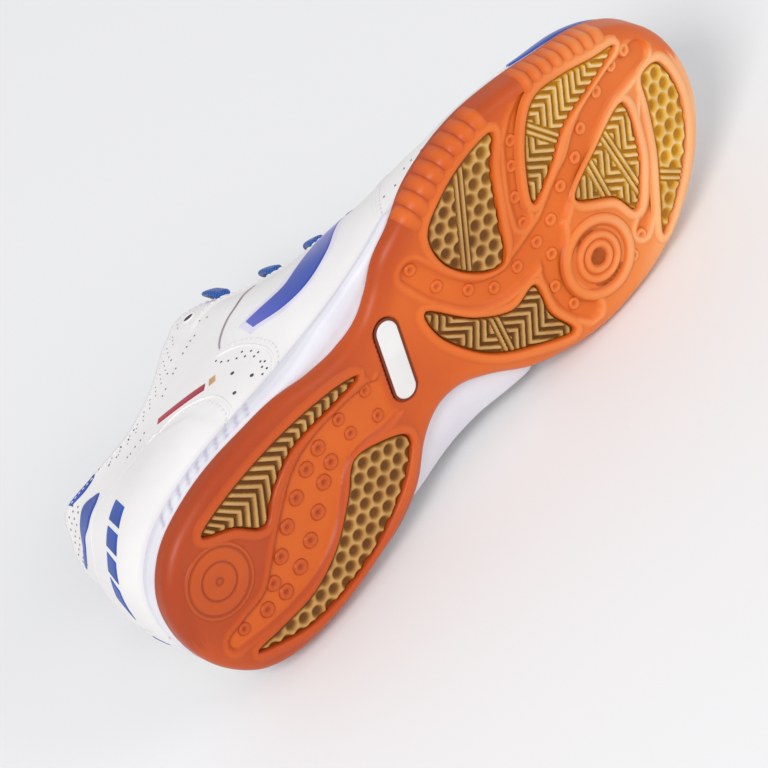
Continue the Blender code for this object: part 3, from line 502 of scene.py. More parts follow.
def shell_point(turn, outer, t):
    """A point of the upper's outer face: station along the sole, t from 0 at it to 1 on top."""
    turn = np.asarray(turn, float)
    t = np.asarray(t, float)[..., None]
    foot = feather(turn, outer)
    top = topline(turn, outer)
    bulge, rise, reach, drop = [handle(turn)[..., None] for handle in HANDLES]
    up = np.array([0.0, 0.0, 1.0])
    plan = edge_normal("body", outer, turn)
    outward = np.concatenate([plan, np.zeros_like(plan[..., :1])], -1)
    away = (foot - top) * np.array([1.0, 1.0, 0.0])
    away = away / np.linalg.norm(away, axis=-1, keepdims=True)
    low = foot + outward * bulge + up * rise
    high = top + away * reach - up * drop
    return (foot * (1 - t) ** 3 + low * 3 * t * (1 - t) ** 2
            + high * 3 * t * t * (1 - t) + top * t ** 3)


def shell_normal(turn, outer, t):
    step = 2e-3
    low_turn = np.clip(turn - step, 1e-6, 1 - 1e-6)
    high_turn = np.clip(turn + step, 1e-6, 1 - 1e-6)
    along = shell_point(high_turn, outer, t) - shell_point(low_turn, outer, t)
    above = shell_point(turn, outer, np.minimum(t + step, 1.0))
    upward = above - shell_point(turn, outer, np.maximum(t - step, 0.0))
    normal = np.cross(upward, along) if outer else np.cross(along, upward)
    return -normal / np.linalg.norm(normal, axis=-1, keepdims=True)


# %% [markdown]
# Most pieces are a grid whose two shares, 0 to 1 each way, are sent to a place on the shoe. The
# grid operator makes the faces, numpy finds the places, and named number fields go along with
# the corners for the materials to read. One function then lays the mesh down as an object and hides the CAD
# nodes that it stands for.


# %% Grids, and how a piece is finished
def mapped_grid(columns, rows, place_of):
    """A grid of columns by rows faces; place_of gives the points and fields for its shares."""
    data = bmesh.new()
    bmesh.ops.create_grid(data, x_segments=columns, y_segments=rows, size=0.5)
    shares = np.array([vert.co[:2] for vert in data.verts]) + 0.5
    points, fields = place_of(shares[:, 0], shares[:, 1])
    layers = {name: data.verts.layers.float.new(name) for name in fields}
    for k, vert in enumerate(data.verts):
        vert.co = points[k]
        for name, layer in layers.items():
            vert[layer] = fields[name][k]
    return data


def face_out(data):
    """Turns an open sheet's faces away from the shoe's long middle line."""
    total = 0.0
    for face in data.faces:
        middle = face.calc_center_median()
        total += face.normal.dot(middle - Vector((middle.x, 0.002, 0.030))) * face.calc_area()
    if total < 0:
        bmesh.ops.reverse_faces(data, faces=data.faces)


def close_seams(data, reach=2e-5):
    bmesh.ops.remove_doubles(data, verts=data.verts, dist=reach)
    bmesh.ops.dissolve_degenerate(data, edges=data.edges, dist=1e-7)
    data.normal_update()


def sheet(columns, rows, place_of, reach=2e-5):
    """An open sheet: a mapped grid with its seams closed and its faces turned out."""
    data = mapped_grid(columns, rows, place_of)
    close_seams(data, reach)
    face_out(data)
    return data


def on_side(place_of, outer):
    """What place_of gives for the outer or for the inner side, as each point needs."""
    return np.where(outer[:, None], place_of(True), place_of(False))


def at_height(plan, z):
    """Plan points with their heights."""
    return np.concatenate([plan, z[:, None]], 1)


def way_along(points):
    """How far each point of a line is from its start, along it."""
    return np.concatenate([[0], np.cumsum(np.linalg.norm(np.diff(points, axis=0), axis=1))])


def read_along(places, knots, table):
    """The rows of a table read between its knots, column by column."""
    return np.stack([np.interp(places, knots, column) for column in table.T], -1)


def sign_in(name, data, finish, stands_for=()):
    """Lays a mesh down as an object at the origin under the root body, and hides the CAD nodes that it
    stands for.
    """
    bmesh.ops.transform(data, matrix=LAY, verts=data.verts)
    mesh = bpy.data.meshes.new(name)
    data.to_mesh(mesh)
    data.free()
    mesh.polygons.foreach_set("use_smooth", [True] * len(mesh.polygons))
    mesh.materials.append(finish)
    thing = bpy.data.objects.new(name, mesh)
    bpy.context.scene.collection.objects.link(thing)
    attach(thing, "root")
    if stands_for:
        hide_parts(*stands_for)
    print(name, len(mesh.polygons), "faces")
    return thing


def along_line(points, line):
    """Distance from points to a line of points, and the place along it that is nearest."""
    best = np.full(len(points), np.inf)
    nearest = np.zeros(len(points))
    for k in range(len(line) - 1):
        run = line[k + 1] - line[k]
        t = np.clip((points - line[k]) @ run / max(run @ run, 1e-18), 0, 1)
        gap = np.linalg.norm(points - line[k] - t[:, None] * run, axis=1)
        closer = gap < best
        best = np.where(closer, gap, best)
        nearest = np.where(closer, k + t, nearest)
    return best, nearest


def within(points, outline):
    """Whether plan points lie in a closed outline."""
    hit = np.zeros(len(points), bool)
    for a, b in zip(outline, np.roll(outline, -1, 0)):
        passes = (a[1] > points[:, 1]) != (b[1] > points[:, 1])
        x = a[0] + (points[:, 1] - a[1]) * (b[0] - a[0]) / (b[1] - a[1] + 1e-15)
        hit ^= passes & (points[:, 0] < x)
    return hit


def beyond(points, outline):
    """Distance outside a closed outline, negative inside it."""
    gap, nearest = along_line(points, np.concatenate([outline, outline[:1]]))
    return np.where(within(points, outline), -gap, gap)


# %% [markdown]
# ## Outsole
#
# The outsole is one moulding of gum rubber, whose plate turns up into a thin cupped wall. It
# could be sculpted, but all its detail is a height over a plan, so it is a grid that runs from
# the cup's inner wall on one side, down over the rim, round the rounded edge and across the
# bottom to the other side. Channels, their soft beads and the pads' pockets are heights on it.

# %% Rubber of the outsole
# Gum rubber, compression moulded: saturated, satin, a little light goes in, with a fine spark
# texture. The mould's polished lands shine more than its blasted ones.
gum, tree, shader = new_finish("moulded_gum_rubber", {
    "IOR": 1.52, "Specular IOR Level": 0.32, "Coat Weight": 0.05, "Coat Roughness": 0.28,
    "Subsurface Weight": 0.12, "Subsurface Radius": (0.010, 0.003, 0.001), "Subsurface Scale": 0.25})
place = add(tree, "TexCoord").outputs["Object"]
tone = add(tree, "Attribute", {"attribute_name": "tone"}).outputs["Fac"]
valley = add(tree, "Attribute", {"attribute_name": "valley"}).outputs["Fac"]
# The ramp runs from deep red-orange to pale peach: the rubber's own colour, and the painted shade and
# painted highlight that the tone field carries.
base = add(tree, "ValToRGB", stops=[(0.0, "97360F"), (0.15, "B24412"), (0.40, "CE5814"), (0.65, "E26E20"),
                                   (0.85, "F08E46"), (1.0, "FBB67C")], links={"Fac": tone})
bright = add(tree, "MixRGB", inputs={"Color2": colour("E06A16")},
             links={"Color1": base.outputs["Color"], "Fac": valley})
cloud = add(tree, "TexNoise", inputs={"Scale": 28.0, "Detail": 3.0}, links={"Vector": place})
cloudy = add(tree, "ValToRGB", stops=[(0.35, "F2E6E0"), (0.70, "FFFFFF")],
             links={"Fac": cloud.outputs["Fac"]})
mixed = add(tree, "MixRGB", {"blend_type": "MULTIPLY"}, {"Fac": 0.8},
            {"Color1": bright.outputs["Color"], "Color2": cloudy.outputs["Color"]})
# Spark texture of the mould, about 0.4 mm, drawn a little coarse so that it shows.
grit = add(tree, "TexNoise", inputs={"Scale": 1900.0, "Detail": 2.0}, links={"Vector": place})
rough = add(tree, "MapRange", inputs={"To Min": 0.36, "To Max": 0.50}, links={"Value": cloud.outputs["Fac"]})
relief = add(tree, "Bump", inputs={"Strength": 0.20, "Distance": 0.0003},
             links={"Height": grit.outputs["Fac"]})
tree.links.new(mixed.outputs["Color"], shader.inputs["Base Color"])
tree.links.new(rough.outputs["Result"], shader.inputs["Roughness"])
tree.links.new(relief.outputs["Normal"], shader.inputs["Normal"])
print("finish:", gum.name)

# %% Height of the moulded detail
FINE_GROOVES = [
    # centre lines in mm: x, y, of narrow grooves beside the wide channels
    [(233.8, -36.0), (222.3, -32.4), (214.8, -28.0), (208.4, -19.8), (202.1, -11.1), (197.8, -2.5)],
    [(274.0, 8.5), (254.6, 22.0), (248.2, 32.3), (237.7, 40.8), (229.0, 44.4)],
]
CHANNEL_SLOPE = (-0.0008, 0.0008)
GROOVE_SLOPE = (0.0010, 0.0030)
GROOVE_SHARE = 0.8
POCKET_SLOPE = (0.0002, 0.0016)
BEAD_HEIGHT = 0.0007
BEAD_WIDTH = 0.0011
BEAD_PLACE = 0.0022
GROOVE_BEAD_PLACE = 0.0042
INLAY_CENTRE = (0.443, -0.185)
INLAY_SLANT = math.radians(-66)
INLAY_CALM = (0.0015, 0.0050)
INLAY_SEAT = (0.0, 0.0008)
# Lightness of the rubber at the heel, and what the waist, the toe and the toe's inner side add: partly the
# rubber's own colour, partly painted light, brightest towards the toe.
HEEL_TONE = 0.20
WAIST_TONE = 0.36
TOE_TONE = 0.28
INNER_TONE = 0.30


def channel_line(rows):
    """A channel's smooth centre line on the plan and its width along it."""
    knots = np.arange(len(rows))
    places = np.linspace(0, len(rows) - 1, 4 * len(rows))
    centre = plan_points([row[:2] for row in rows])
    widths = smooth(knots, np.array([row[2] for row in rows]) * MILLIMETRE)(places)
    return np.stack([smooth(knots, column)(places) for column in centre.T], -1), widths


def past_channel(plan, rows):
    """How far plan points are outside a channel's edge, negative inside it."""
    line, widths = channel_line(rows)
    gap, nearest = along_line(plan, line)
    return gap - np.interp(nearest, np.arange(len(widths)), widths) / 2


def past_pads(plan):
    """How far plan points are outside the nearest pad, negative inside it."""
    return np.min([beyond(plan, rounded(plan_points(rows))) for rows in PADS.values()], axis=0)


def bead_beside(past, place):
    return np.exp(-((past - place) / BEAD_WIDTH) ** 2)


def sole_relief(plan):
    """What the moulding adds outwards at plan points, and how far each is in a channel."""
    pasts = np.array([past_channel(plan, rows) for rows in CHANNELS.values()])
    valley = 1 - ease(*CHANNEL_SLOPE, np.min(pasts, axis=0))
    bead = np.max(bead_beside(pasts, BEAD_PLACE), axis=0)
    for rows in FINE_GROOVES:
        gap = along_line(plan, np.array(rows) * MILLIMETRE)[0]
        valley = np.maximum(valley, GROOVE_SHARE * (1 - ease(*GROOVE_SLOPE, gap)))
        bead = np.maximum(bead, bead_beside(gap, GROOVE_BEAD_PLACE))
    pocket = 1 - ease(*POCKET_SLOPE, past_pads(plan))
    spot = plan_points([INLAY_CENTRE])[0]
    arm = (INLAY_LENGTH - INLAY_WIDTH) / 2 * np.array([math.cos(INLAY_SLANT), math.sin(INLAY_SLANT)])
    past_inlay = along_line(plan, np.array([spot - arm, spot + arm]))[0] - INLAY_WIDTH / 2
    calm = ease(*INLAY_CALM, past_inlay)
    valley = valley * calm
    height = BEAD_HEIGHT * bead * (1 - valley) * (1 - pocket) * calm - CHANNEL_DEPTH * valley
    height = np.where(pocket > 0, np.minimum(height, -POCKET_DEPTH * pocket), height)
    return height - INLAY_THICKNESS * (1 - ease(*INLAY_SEAT, past_inlay)), valley * (1 - pocket)


def sole_tone(plan):
    """How light the rubber is: deep at the heel and the outer side, pale at the toe's inner side; partly its
    own colour and partly painted light.
    """
    share = plan[:, 0] / SOLE_LENGTH
    inward = plan[:, 1] / BALL_WIDTH
    tone = HEEL_TONE + WAIST_TONE * ease(0.24, 0.60, share) + TOE_TONE * ease(0.60, 0.95, share)
    return tone + INNER_TONE * inward * ease(0.45, 0.80, share)


def rubber_fields(tone, valley):
    """The two fields that the rubber's material reads."""
    return {"tone": np.clip(tone, 0, 1), "valley": valley}


print("channels:", len(CHANNELS), "narrow grooves:", len(FINE_GROOVES))

# %% Outsole
# Shares of the half width where the flat, the bend, the wall, its rim and its inner face end.
SOLE_BANDS = [0.0, 0.74, 0.86, 0.93, 0.96, 1.0]
# How far the stations are evened out, so that both round ends get enough of them.
STATION_EVENING = 0.65
# Painted shade makes the edge darker on the outer side, and painted light makes it lighter on the inner one,
# as far in as this reach.
EDGE_SHADE_REACH = 0.014
OUTER_HEEL_SHADE = 0.06
OUTER_FRONT_SHADE = 0.26
INNER_SHADE = -0.08
# How much painted highlight lightens the raised detail, and how much of a channel's depth its colour shows.
RAISED_HIGHLIGHT = 0.14
VALLEY_SHARE = 0.8


def outsole_place(a, b):
    """Point of the outsole for shares along it and across it, from one cup wall to the other."""
    a = (1 - STATION_EVENING) * a + STATION_EVENING * turn_of(a)
    outer = b < 0.5
    across = np.abs(2 * b - 1)
    flat, bend, wall, over, inside = [np.clip((across - low) / (high - low), 0, 1)
                                      for low, high in zip(SOLE_BANDS[:-1], SOLE_BANDS[1:])]
    rim = on_side(lambda side: edge_point("tread", side, a), outer)
    out = on_side(lambda side: edge_normal("tread", side, a), outer)
    middle = sum(edge_point("tread", side, a) - edge_normal("tread", side, a) * EDGE_ROUNDING
                 for side in (True, False)) / 2
    angle = bend * math.pi / 2
    inset = EDGE_ROUNDING * (1 - np.sin(angle)) + CUP_WALL * over
    plan = middle + (rim - out * inset[:, None] - middle) * flat[:, None]
    top = cup_top(rim[:, 0], outer)
    z = EDGE_ROUNDING * (1 - np.cos(angle)) + (top - EDGE_ROUNDING) * wall + (PLATE_THICKNESS - top) * inside
    moulded, valley = sole_relief(plan)
    moulded = np.where(across < SOLE_BANDS[1], moulded, 0.0)
    edge_zone = 1 - ease(0.0, EDGE_SHADE_REACH, np.linalg.norm(rim - plan, axis=1))
    outer_shade = OUTER_HEEL_SHADE + OUTER_FRONT_SHADE * ease(0.34, 0.60, share_of(a))
    shade = edge_zone * np.where(outer, outer_shade, INNER_SHADE)
    tone = sole_tone(plan) - shade + RAISED_HIGHLIGHT * ease(0.0, 0.0006, moulded)
    return at_height(plan, z - moulded + ground(plan[:, 0])), rubber_fields(tone, valley * VALLEY_SHARE)


sign_in("gum_outsole", sheet(540, 176, outsole_place), gum, ["outsole"])

# %% [markdown]
# The sole's crisp edges are finer than its grid, so they are lofts of their own on top of it: a
# rounded rim runs round each pad's pocket, and a row of fingers wraps the outer edge of the
# forefoot. Where two fingers meet, their domes cut each other in a sharp groove.

# %% Rims round the pockets
RIM_SECTION = [
    # way out from the pad's outline and height over the sole, in mm
    (-0.10, -1.70), (0.02, -1.10), (0.20, -0.30), (0.60, 0.32), (1.20, 0.66), (2.00, 0.80),
    (2.80, 0.70), (3.60, 0.38), (4.30, 0.02), (4.90, -0.35),
]
RIM_STEP = 0.0009
# Least width and height of a rim that is squeezed by a channel, as shares of the full ones.
RIM_NARROWEST = 0.45
RIM_LOWEST = 0.55
# Painted highlight that lightens the top of a rim.
RIM_TOP_HIGHLIGHT = 0.15


def onto_sole(plan, height):
    """Points on the sole's under-side, raised outwards; they follow its rounded edge."""
    ticks = np.linspace(0, 1, 300)
    rim = np.concatenate([edge_point("tread", True, ticks), edge_point("tread", False, ticks)[::-1]])
    short = np.clip(EDGE_ROUNDING - along_line(plan, rim)[0], 0, EDGE_ROUNDING * 0.98)
    z = EDGE_ROUNDING - np.sqrt(EDGE_ROUNDING ** 2 - short ** 2)
    return at_height(plan, z + ground(plan[:, 0]) - height)


def evened(row, reach):
    """A closed row of values, each made the mean of its neighbours up to reach places away."""
    return sum(np.roll(row, k, 0) for k in range(-reach, reach + 1)) / (2 * reach + 1)


def pad_rim(rows):
    """The rim of a pad's pocket, swept round its outline and narrower where a channel is near."""
    outline = rounded(plan_points(rows), 6)
    closed = np.concatenate([outline, outline[:1]])
    far = way_along(closed)
    columns = int(far[-1] / RIM_STEP)
    line = read_along(np.linspace(0, 1, columns, endpoint=False) * far[-1], far, closed)
    soft = evened(line, 2)
    run = np.roll(soft, -2, 0) - np.roll(soft, 2, 0)
    out = np.stack([run[:, 1], -run[:, 0]], -1) / np.linalg.norm(run, axis=1)[:, None]
    if not within(line[:1] - out[:1] * 0.0004, outline)[0]:
        out = -out
    section = np.array(RIM_SECTION) * MILLIMETRE
    room = np.min([past_channel(line, channel) for channel in CHANNELS.values()], axis=0)
    width = evened(np.clip(room / section[-1, 0], RIM_NARROWEST, 1.0), 4)

    def rim_place(a, b):
        which = np.round(a * columns).astype(int) % columns
        off, height = read_along(b * (len(section) - 1), np.arange(len(section)), section).T
        off = np.where(off > 0, off * width[which], off)
        squeezed = RIM_LOWEST + (1 - RIM_LOWEST) * width[which]
        height = np.where(height > 0, height * squeezed, height)
        plan = line[which] + out[which] * off[:, None]
        tone = sole_tone(plan) + RIM_TOP_HIGHLIGHT * ease(0.0, 0.0008, height)
        return onto_sole(plan, height), rubber_fields(tone, 0 * a)

    return sheet(columns, 2 * len(RIM_SECTION) - 2, rim_place)


for name, rows in PADS.items():
    sign_in(name.replace("tread_pad", "gum_rim"), pad_rim(rows), gum)

# %% Fingers round the outer edge
FINGER_ROWS = [
    # first and last edge as shares of the sole, and how many fingers lie between them
    (0.566, 0.742, 8),
    (0.806, 0.940, 8),
]
FINGER_HEIGHT = 0.0008
FINGER_SINK = 0.00025
FINGER_OVERLAP = 1.06
FINGER_TIP = 0.0028
FINGER_ROOT = 0.0020
FINGER_CLEARANCE = 0.0012
FINGER_RUN_LEAST = 0.0008
FINGER_RUN_MOST = 0.0050
FINGER_WALL_SHARE = 0.8
FINGER_TIP_WIDTH = 0.15
FINGER_FLATNESS = 2.4
FINGER_LEAN = 0.18
# Painted highlight makes the crest of a finger lighter, and painted shade makes its foot and its end on the
# wall darker.
FINGER_CREST_HIGHLIGHT = 0.26
FINGER_SHADE = 0.20


def finger(mid, half):
    """One finger, from the cup's wall round the edge to its round tip beside the pads."""
    station = turn_of(np.array([mid]))
    spot = edge_point("tread", True, station)
    room = past_pads(spot - edge_normal("tread", True, station) * EDGE_ROUNDING)[0]
    wall = FINGER_WALL_SHARE * float(cup_height(spot[0, 0], True) - EDGE_ROUNDING)
    bend = EDGE_ROUNDING * math.pi / 2
    end = wall + bend + min(max(room - FINGER_CLEARANCE, FINGER_RUN_LEAST), FINGER_RUN_MOST)

    def finger_place(a, b):
        # a runs from high on the cup's wall to the tip under the sole, and b runs across.
        way = a * end - wall
        tip = np.clip((a * end - (end - FINGER_TIP)) / FINGER_TIP, 0, 1)
        root = np.clip(1 - a * end / FINGER_ROOT, 0, 1)
        c = 2 * b - 1
        narrow = np.sqrt(1 - tip ** 2)
        turns = turn_of(mid + half * c * (FINGER_TIP_WIDTH + (1 - FINGER_TIP_WIDTH) * narrow))
        angle = np.clip(way / EDGE_ROUNDING, 0, math.pi / 2)
        inset = EDGE_ROUNDING * (1 - np.cos(angle)) + np.maximum(way - bend, 0)
        section = (1 - np.abs(c) ** FINGER_FLATNESS) * (1 + FINGER_LEAN * c)
        dome = section * narrow * np.sqrt(1 - root ** 2)
        rise = FINGER_HEIGHT * dome - FINGER_SINK
        out = edge_normal("tread", True, turns)
        plan = edge_point("tread", True, turns) + out * (np.cos(angle) * rise - inset)[:, None]
        z = EDGE_ROUNDING * (1 - np.sin(angle)) + np.maximum(-way, 0) - np.sin(angle) * rise
        tone = sole_tone(plan) + FINGER_CREST_HIGHLIGHT * dome - FINGER_SHADE * (1 + np.clip(-way / wall, 0, 1))
        return at_height(plan, z + ground(plan[:, 0])), rubber_fields(tone, 0 * a)

    data = mapped_grid(44, 16, finger_place)
    face_out(data)
    mesh = bpy.data.meshes.new("finger")
    data.to_mesh(mesh)
    data.free()
    return mesh


fingers = bmesh.new()
for field in ("tone", "valley"):
    fingers.verts.layers.float.new(field)
for first, last, count in FINGER_ROWS:
    share = (last - first) / count
    for k in range(count):
        fingers.from_mesh(finger(first + (k + 0.5) * share, share / 2 * FINGER_OVERLAP))
sign_in("gum_fingers", fingers, gum)

# %% [markdown]
# Small round studs sit in the channels, each a low ring with a dimple, and two large targets of
# rings mark the points that the foot pivots on. They are too fine for the big grid, so each is a
# profile spun round its own middle and set on the floor of its channel.

# %% Studs and targets
STUDS = [
    # plan points in mm
    (272.7, -7.1), (264.8, -8.1), (253.1, -7.9), (238.6, -5.0), (229.2, 0.4), (217.6, 2.6),
    (206.2, 8.2), (196.5, 9.3), (184.8, 9.0), (172.9, 6.3), (165.5, -2.5), (157.9, -14.7),
    (155.2, -28.3), (215.7, -28.0), (209.3, -20.8), (202.1, -11.1), (197.8, -1.1), (197.5, 18.0),
    (189.9, 28.2), (190.6, 39.9), (227.1, 45.5), (219.4, 47.9),
    (112.3, -11.0), (97.4, -14.0), (84.7, -13.7), (76.0, -12.2), (66.0, -8.1), (56.0, -3.6),
    (46.6, 2.3), (37.6, 6.8), (109.0, 0.0), (96.9, -6.1), (84.3, -5.4), (77.1, -2.5),
    (67.7, 3.5), (58.3, 8.4), (48.7, 12.0), (38.5, 13.6), (29.1, 11.7), (18.2, 8.5),
]
# The profiles are radius and height in mm, from the outside in.
STUD_PROFILE = [(2.9, -0.5), (2.65, 0.15), (2.3, 0.62), (1.85, 0.85), (1.4, 0.75), (0.95, 0.35),
                (0.5, 0.12), (0.0, 0.05)]
HEEL_TARGET = [(15.2, -0.4), (14.8, 0.20), (14.3, 0.50), (13.8, 0.48), (13.4, 0.10), (12.7, 0.10),
               (12.3, 0.45), (11.7, 0.55), (8.5, 0.55), (8.0, 0.45), (7.7, 0.10), (7.1, 0.10), (6.8, 0.45),
               (6.2, 0.58), (2.5, 0.58), (2.0, 0.45), (1.6, 0.10), (1.0, 0.10), (0.6, 0.35), (0.0, 0.45)]
BALL_TARGET = [(17.2, -0.4), (16.7, 0.10), (16.2, 0.70), (15.3, 1.20), (14.0, 1.30), (13.0, 0.90),
               (12.3, 0.15), (11.8, 0.00), (10.4, 0.00), (9.9, 0.25), (9.4, 0.95), (8.6, 1.20), (7.7, 1.00),
               (7.1, 0.30), (6.7, 0.05), (6.3, 0.35), (5.8, 0.95), (5.0, 1.15), (4.1, 0.85), (3.6, 0.20),
               (3.2, 0.00), (0.0, 0.00)]
TARGETS = [(HEEL_TARGET, 24.6, -13.9), (BALL_TARGET, 209.4, 35.3)]
# Between these two places along the sole, in mm, the studs are wider and higher.
LARGE_STUDS = (28, 90)
LARGE_PROFILE = [(1.2 * radius, 1.1 * height) for radius, height in STUD_PROFILE]
# Painted highlight makes the crest of a round form lighter, painted shade makes its foot darker and all of
# it a little darker, and all of it is a little like a channel.
STUD_CREST_HIGHLIGHT = 0.16
STUD_FOOT_SHADE = 0.20
STUD_SHADE = 0.03
STUD_VALLEY = 0.20


def spun(profile, steps):
    """A profile of radius and height in mm spun into a round form that looks down."""
    data = bmesh.new()
    verts = [data.verts.new((r * MILLIMETRE, 0.0, -h * MILLIMETRE)) for r, h in profile]
    edges = [data.edges.new(pair) for pair in zip(verts[:-1], verts[1:])]
    bmesh.ops.spin(data, geom=verts + edges, cent=(0, 0, 0), axis=(0, 0, 1), steps=steps,
                   angle=math.tau, use_merge=True)
    bmesh.ops.remove_doubles(data, verts=data.verts, dist=1e-6)
    bmesh.ops.recalc_face_normals(data, faces=data.faces)
    low = min(data.faces, key=lambda face: face.calc_center_median().length)
    if low.normal.z > 0:
        bmesh.ops.reverse_faces(data, faces=data.faces)
    mesh = bpy.data.meshes.new("round_form")
    data.to_mesh(mesh)
    data.free()
    return mesh


def set_down(data, form, x, y, sunk):
    """Adds a round form at a place on the sole, and gives its corners' own heights."""
    spot = np.array([[x, y]]) * MILLIMETRE
    floor_depth = -min(sole_relief(spot)[0][0], 0.0) if sunk else 0.0
    before = len(data.verts)
    data.from_mesh(form)
    data.verts.ensure_lookup_table()
    heights = [-vert.co.z for vert in data.verts[before:]]
    for vert in data.verts[before:]:
        vert.co += Vector((*spot[0], floor_depth))
        vert.co.z += float(ground(vert.co.x))
    return heights


studs = bmesh.new()
stud_mesh = spun(STUD_PROFILE, 20)
large_mesh = spun(LARGE_PROFILE, 20)
heights = []
for x, y in STUDS:
    heights += set_down(studs, large_mesh if LARGE_STUDS[0] < x < LARGE_STUDS[1] else stud_mesh, x, y, True)
for profile, x, y in TARGETS:
    heights += set_down(studs, spun(profile, 96), x, y, False)
tone_layer = studs.verts.layers.float.new("tone")
valley_layer = studs.verts.layers.float.new("valley")
plans = np.array([vert.co[:2] for vert in studs.verts])
for vert, tone, high in zip(studs.verts, sole_tone(plans), heights):
    tone += STUD_CREST_HIGHLIGHT * high / MILLIMETRE - STUD_FOOT_SHADE * (1 - ease(0.0001, 0.0004, high))
    vert[tone_layer] = float(np.clip(tone - STUD_SHADE, 0, 1))
    vert[valley_layer] = STUD_VALLEY
sign_in("gum_studs", studs, gum)

# %% [markdown]
# ## Tread pads
#
# Seven pads of a harder tan rubber are pressed into the outsole. Their tops carry chevron,
# herringbone or honeycomb relief, most with a smooth bar across. Each pad is a fine grid over its
# outline: faces past the outline are deleted, the border is moved onto it and extruded down.

# %% Rubber of the pads
# Tan crepe-like gum, moulded: dry and matt, with painted light on the tops, painted shade in the grooves and
# a mottle of wear.
crepe, tree, shader = new_finish("moulded_tan_gum", {"IOR": 1.52, "Specular IOR Level": 0.35})
place = add(tree, "TexCoord").outputs["Object"]
height = add(tree, "Attribute", {"attribute_name": "height"}).outputs["Fac"]
warm = add(tree, "Attribute", {"attribute_name": "warm"}).outputs["Fac"]
# The colour runs with the relief's height, from painted shade in the grooves to painted light on the tops.
tan = add(tree, "ValToRGB", stops=[(0.0, "6A3E08"), (0.35, "94601A"), (0.75, "B98A44"), (1.0, "C69C60")],
          links={"Fac": height})
gold = add(tree, "ValToRGB", stops=[(0.0, "BC8008"), (0.35, "DAA414"), (0.75, "E4B858"), (1.0, "EECB90")],
           links={"Fac": height})
both = add(tree, "MixRGB",
           links={"Fac": warm, "Color1": tan.outputs["Color"], "Color2": gold.outputs["Color"]})
dust = add(tree, "TexNoise", inputs={"Scale": 120.0, "Detail": 4.0}, links={"Vector": place})
worn = add(tree, "ValToRGB", stops=[(0.30, "E2D6C6"), (0.65, "FFFFFF")], links={"Fac": dust.outputs["Fac"]})
mixed = add(tree, "MixRGB", {"blend_type": "MULTIPLY"}, {"Fac": 0.7},
            {"Color1": both.outputs["Color"], "Color2": worn.outputs["Color"]})
rough = add(tree, "MapRange", inputs={"To Min": 0.62, "To Max": 0.46}, links={"Value": height})
grit = add(tree, "TexNoise", inputs={"Scale": 1600.0, "Detail": 2.0}, links={"Vector": place})
relief = add(tree, "Bump", inputs={"Strength": 0.25, "Distance": 0.0003},
             links={"Height": grit.outputs["Fac"]})
tree.links.new(mixed.outputs["Color"], shader.inputs["Base Color"])
tree.links.new(rough.outputs["Result"], shader.inputs["Roughness"])
tree.links.new(relief.outputs["Normal"], shader.inputs["Normal"])
print("finish:", crepe.name)

# %% Patterns of the pads
PAD_PATTERNS = {
    # kind, pitch in mm, width of a zigzag's column in mm, and the bars as x, y to x, y in mm
    "tread_pad_heel_outer": ("chevron", 4.0, 0.0, []),
    "tread_pad_heel_inner": ("honeycomb", 5.9, 0.0, []),
    "tread_pad_ball_outer": ("honeycomb", 5.9, 0.0, [(194.4, -40.0, 166.5, -4.0)]),
    "tread_pad_ball_rear": ("herringbone", 3.9, 8.5, [(166.5, 8.0, 158.5, 36.0)]),
    "tread_pad_toe_outer": ("herringbone", 3.9, 8.5, [(221.0, -31.0, 231.5, -6.0)]),
    "tread_pad_toe_centre": ("herringbone", 3.9, 8.5,
                             [(243.5, 3.0, 238.5, 36.0), (232.0, 4.0, 227.0, 26.0)]),
    "tread_pad_toe_inner": ("honeycomb", 5.9, 0.0, [(248.0, 36.0, 258.0, 50.0)]),
}
PAD_RELIEF = 0.0014
BAR_HALF_WIDTH = 0.0022
CELL = 0.00046
# Where the walls of a honeycomb start and are full, as shares of its pitch from a pit's middle.
HONEYCOMB_WALL = (0.20, 0.55)
# Share of a zigzag's pitch that its steep sides take up, and its slants in the two patterns.
ZIGZAG_SIDE = 0.42
CHEVRON_SLANT = 0.75
HERRINGBONE_SLANT = 0.85
# The pad's border: its width, its height as a share of the relief, how far the rest stands out
# over it, and how far its skirt goes down.
PAD_BORDER = 0.0009
PAD_BORDER_HEIGHT = 0.15
PAD_LIFT = 0.0005
PAD_SKIRT = 0.0010


def zigzag(x, fold, slope, pitch, start):
    """Ridges across x that slant with the fold: 1 on their tops and 0 in the grooves."""
    wave = 0.5 + 0.5 * np.cos((x + slope * fold) / pitch * math.tau)
    return ease(start, start + ZIGZAG_SIDE, wave)


def honeycomb(x, y, pitch):
    """1 on the walls and 0 in the pits of a honeycomb."""
    row = pitch * math.sqrt(3) / 2
    nearest = np.full(len(x), np.inf)
    for half in (0, 1):
        for k in (-1, 0, 1):
            line = 2 * row * (np.round(x / (2 * row) - half / 2) + half / 2)
            place_y = pitch * (np.round(y / pitch - half / 2) + half / 2 + k)
            nearest = np.minimum(nearest, np.hypot(x - line, y - place_y))
    return ease(HONEYCOMB_WALL[0] * pitch, HONEYCOMB_WALL[1] * pitch, nearest)


